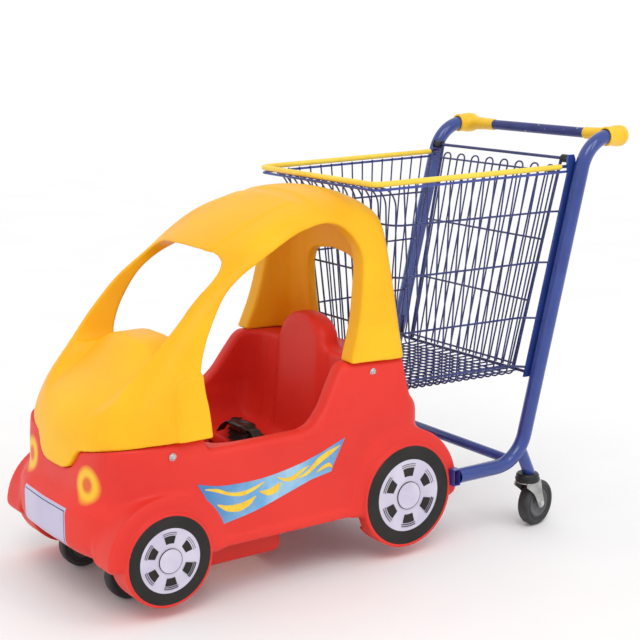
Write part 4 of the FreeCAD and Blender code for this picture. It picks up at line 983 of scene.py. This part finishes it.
BLACK = (0.010, 0.010, 0.011)
LILAC = (0.60, 0.56, 0.71), (0.68, 0.65, 0.78)
LOOKS = {
    "frame_steel": finish("blue_enamel", (0.020, 0.048, 0.245), (0.028, 0.062, 0.295), 0.20,
                          grain=260, coat=0.6),
    "wire_steel": finish("navy_enamel", (0.012, 0.020, 0.120), (0.022, 0.034, 0.175), 0.26,
                         grain=500, coat=0.4),
    "chassis_steel": finish("blue_enamel_chassis", (0.026, 0.045, 0.26), (0.036, 0.060, 0.32), 0.26,
                            grain=260, coat=0.3),
    "rim_wire": finish("blue_sleeve", (0.028, 0.050, 0.30), (0.040, 0.070, 0.38), 0.28, coat=0.3),
    "fork_steel": finish("zinc_plate", (0.34, 0.34, 0.33), (0.50, 0.50, 0.48), 0.34, 0.85,
                         mottle=38, rough_range=0.08, grain=1400, bump=0.08),
    "fastener_steel": finish("zinc_bolt", (0.46, 0.46, 0.47), (0.66, 0.66, 0.66), 0.30, 0.95,
                             mottle=90, grain=1600),
    "rim_cover": finish("yellow_sleeve", (0.93, 0.64, 0.045), (0.97, 0.72, 0.07), 0.30, mottle=14, coat=0.2),
    "hinge_plastic": finish("black_nylon", BLACK, (0.018, 0.018, 0.020), 0.42, mottle=30, bump=0.1),
    "corner_plastic": finish("yellow_corner", (0.95, 0.52, 0.010), (0.98, 0.60, 0.016), 0.33,
                             mottle=12, bump=0.08, coat=0.15),
    "grip_plastic": finish("blue_grip", (0.016, 0.024, 0.15), (0.024, 0.034, 0.20), 0.34,
                           mottle=22, coat=0.1, marks=flecks((0.55, 0.57, 0.68), 48, 0.10)),
    "collar_plastic": finish("black_collar", BLACK, (0.020, 0.020, 0.022), 0.45, mottle=40, bump=0.1),
    "hub_plastic": finish("grey_hub", (0.075, 0.077, 0.082), (0.105, 0.108, 0.115), 0.42,
                          mottle=40, bump=0.08),
    "tyre": finish("dark_tyre", (0.026, 0.026, 0.028), (0.044, 0.044, 0.047), 0.56,
                   mottle=36, grain=1100, bump=0.25),
    "body_red": finish("red_moulding", (0.76, 0.036, 0.026), (0.82, 0.044, 0.030), 0.42,
                       mottle=5, grain=420, bump=0.08, shine=0.24,
                       marks=lamp_rings((0.141, -0.691, 0.285), (0.95, 0.55, 0.03), (0.80, 0.14, 0.03))),
    "roof_yellow": finish("yellow_moulding", (0.95, 0.45, 0.008), (0.98, 0.54, 0.012), 0.42,
                          mottle=5, grain=420, bump=0.08, shine=0.24),
    "belt_buckle": finish("black_buckle", BLACK, (0.018, 0.018, 0.019), 0.34, mottle=50, bump=0.1),
    "belt_webbing": webbing("black_webbing"),
    "print_black": finish("ink_black", (0.009, 0.008, 0.007), (0.015, 0.014, 0.012), 0.55, mottle=16),
    "print_lilac": finish("ink_lilac", *LILAC, 0.36, mottle=14),
    "print_silver": finish("ink_silver", *LILAC, 0.34, mottle=20),
    "print_blue": finish("ink_blue", (0.16, 0.42, 0.72), (0.36, 0.60, 0.78), 0.30,
                         mottle=14, marks=fade_along(-0.275, 0.04, 0.19, (0.035, 0.20, 0.50))),
    "print_yellow": finish("ink_yellow", (0.90, 0.50, 0.02), (0.93, 0.66, 0.06), 0.30, mottle=34),
    "print_navy": finish("ink_navy", (0.010, 0.022, 0.10), (0.018, 0.035, 0.15), 0.32, mottle=14),
    "print_white": finish("ink_white", (0.54, 0.50, 0.68), (0.60, 0.56, 0.73), 0.36, mottle=12),
}

for piece, look in PIECES:
    for key in (look if isinstance(look, tuple) else (look,)):
        piece.data.materials.append(LOOKS[key].material)
for entry in frame["record"]["subparts"]:
    if entry["material_slot"] in LOOKS:
        materials = NODES[entry["node"]].data.materials
        materials.clear()
        materials.append(LOOKS[entry["material_slot"]].material)


# -------- stage, light and camera

FLOOR_RADIUS, BOWL_CURVE, WALL_TOP = 12, 2, 5
SKY_STRENGTH, SUN_STRENGTH, SUN_SPREAD, SUN_FROM = 0.90, 0.62, 28, (1.4, -1.0, 2.2)
GLOSS_SPOT, GLOSS_TARGET, GLOSS_SIZE, GLOSS_POWER = (2.4, 0.9, 2.9), (0, 0, 0.6), (0.5, 2.2), 10
CAMERA_SPOT, CAMERA_AZIMUTH, CAMERA_ELEVATION = (2.8233, -1.9466, 1.2577), 55.3, 11.9
CAMERA_LENS, SENSOR_WIDTH = 81.3, 36


def paper_bowl(name):
    """A round floor of white paper that curves up into a wall all round."""
    bend = [(FLOOR_RADIUS + BOWL_CURVE * math.sin(t), BOWL_CURVE - BOWL_CURVE * math.cos(t))
            for t in np.linspace(0, 1.57, 9)]
    profile = [(0, 0), (4, 0), (10, 0)] + bend + [(FLOOR_RADIUS + BOWL_CURVE, WALL_TOP)]
    turn = np.linspace(0, 2 * np.pi, 64, endpoint=False)[:, None]
    radius, height = np.array(profile).T
    points = np.stack([radius * np.cos(turn), radius * np.sin(turn), height + 0 * turn], axis=2)
    index = np.arange(points.shape[0] * points.shape[1]).reshape(points.shape[:2])
    after = np.roll(index, -1, axis=0)
    faces = np.stack([index[:, :-1], after[:, :-1], after[:, 1:], index[:, 1:]], axis=2).reshape(-1, 4)
    bowl = mesh_piece(name, points.reshape(-1, 3), faces)
    whole = bmesh.new()
    whole.from_mesh(bowl.data)
    bmesh.ops.remove_doubles(whole, verts=whole.verts, dist=0.001)
    whole.to_mesh(bowl.data)
    whole.free()
    return bowl


def aim(direction):
    """The rotation that makes a light look along a direction."""
    return Vector(direction).to_track_quat("-Z", "Y").to_euler()


def lights():
    """A white sky, a soft sun and one tall area light for the gloss on the tubes."""
    world = bpy.data.worlds.new("studio")
    world.use_nodes = True
    sky = world.node_tree.nodes["Background"]
    sky.inputs["Color"].default_value = (1, 1, 1, 1)
    sky.inputs["Strength"].default_value = SKY_STRENGTH
    bpy.context.scene.world = world
    sun = bpy.data.lights.new("sun", "SUN")
    sun.energy = SUN_STRENGTH
    sun.angle = math.radians(SUN_SPREAD)
    linked("sun", sun).rotation_euler = aim(-Vector(SUN_FROM))
    gloss = bpy.data.lights.new("gloss", "AREA")
    gloss.shape = "RECTANGLE"
    gloss.size, gloss.size_y = GLOSS_SIZE
    gloss.energy = GLOSS_POWER
    lamp = linked("gloss", gloss)
    lamp.location = GLOSS_SPOT
    lamp.rotation_euler = aim(Vector(GLOSS_TARGET) - Vector(GLOSS_SPOT))


def camera():
    data = bpy.data.cameras.new("camera")
    data.sensor_width = SENSOR_WIDTH
    data.lens = CAMERA_LENS
    azimuth, elevation = math.radians(CAMERA_AZIMUTH), math.radians(CAMERA_ELEVATION)
    level = math.cos(elevation)
    back = Vector((math.sin(azimuth) * level, -math.cos(azimuth) * level, math.sin(elevation)))
    viewer = linked("camera", data)
    viewer.location = CAMERA_SPOT
    viewer.rotation_euler = back.to_track_quat("Z", "Y").to_euler()
    bpy.context.scene.camera = viewer


floor = paper_bowl("floor")
floor.data.materials.append(finish("floor_paper", (0.93, 0.93, 0.93), (0.95, 0.95, 0.95), 0.9,
                                   mottle=2, bump=0).material)
lights()
camera()
bpy.context.scene.view_settings.view_transform = "Standard"
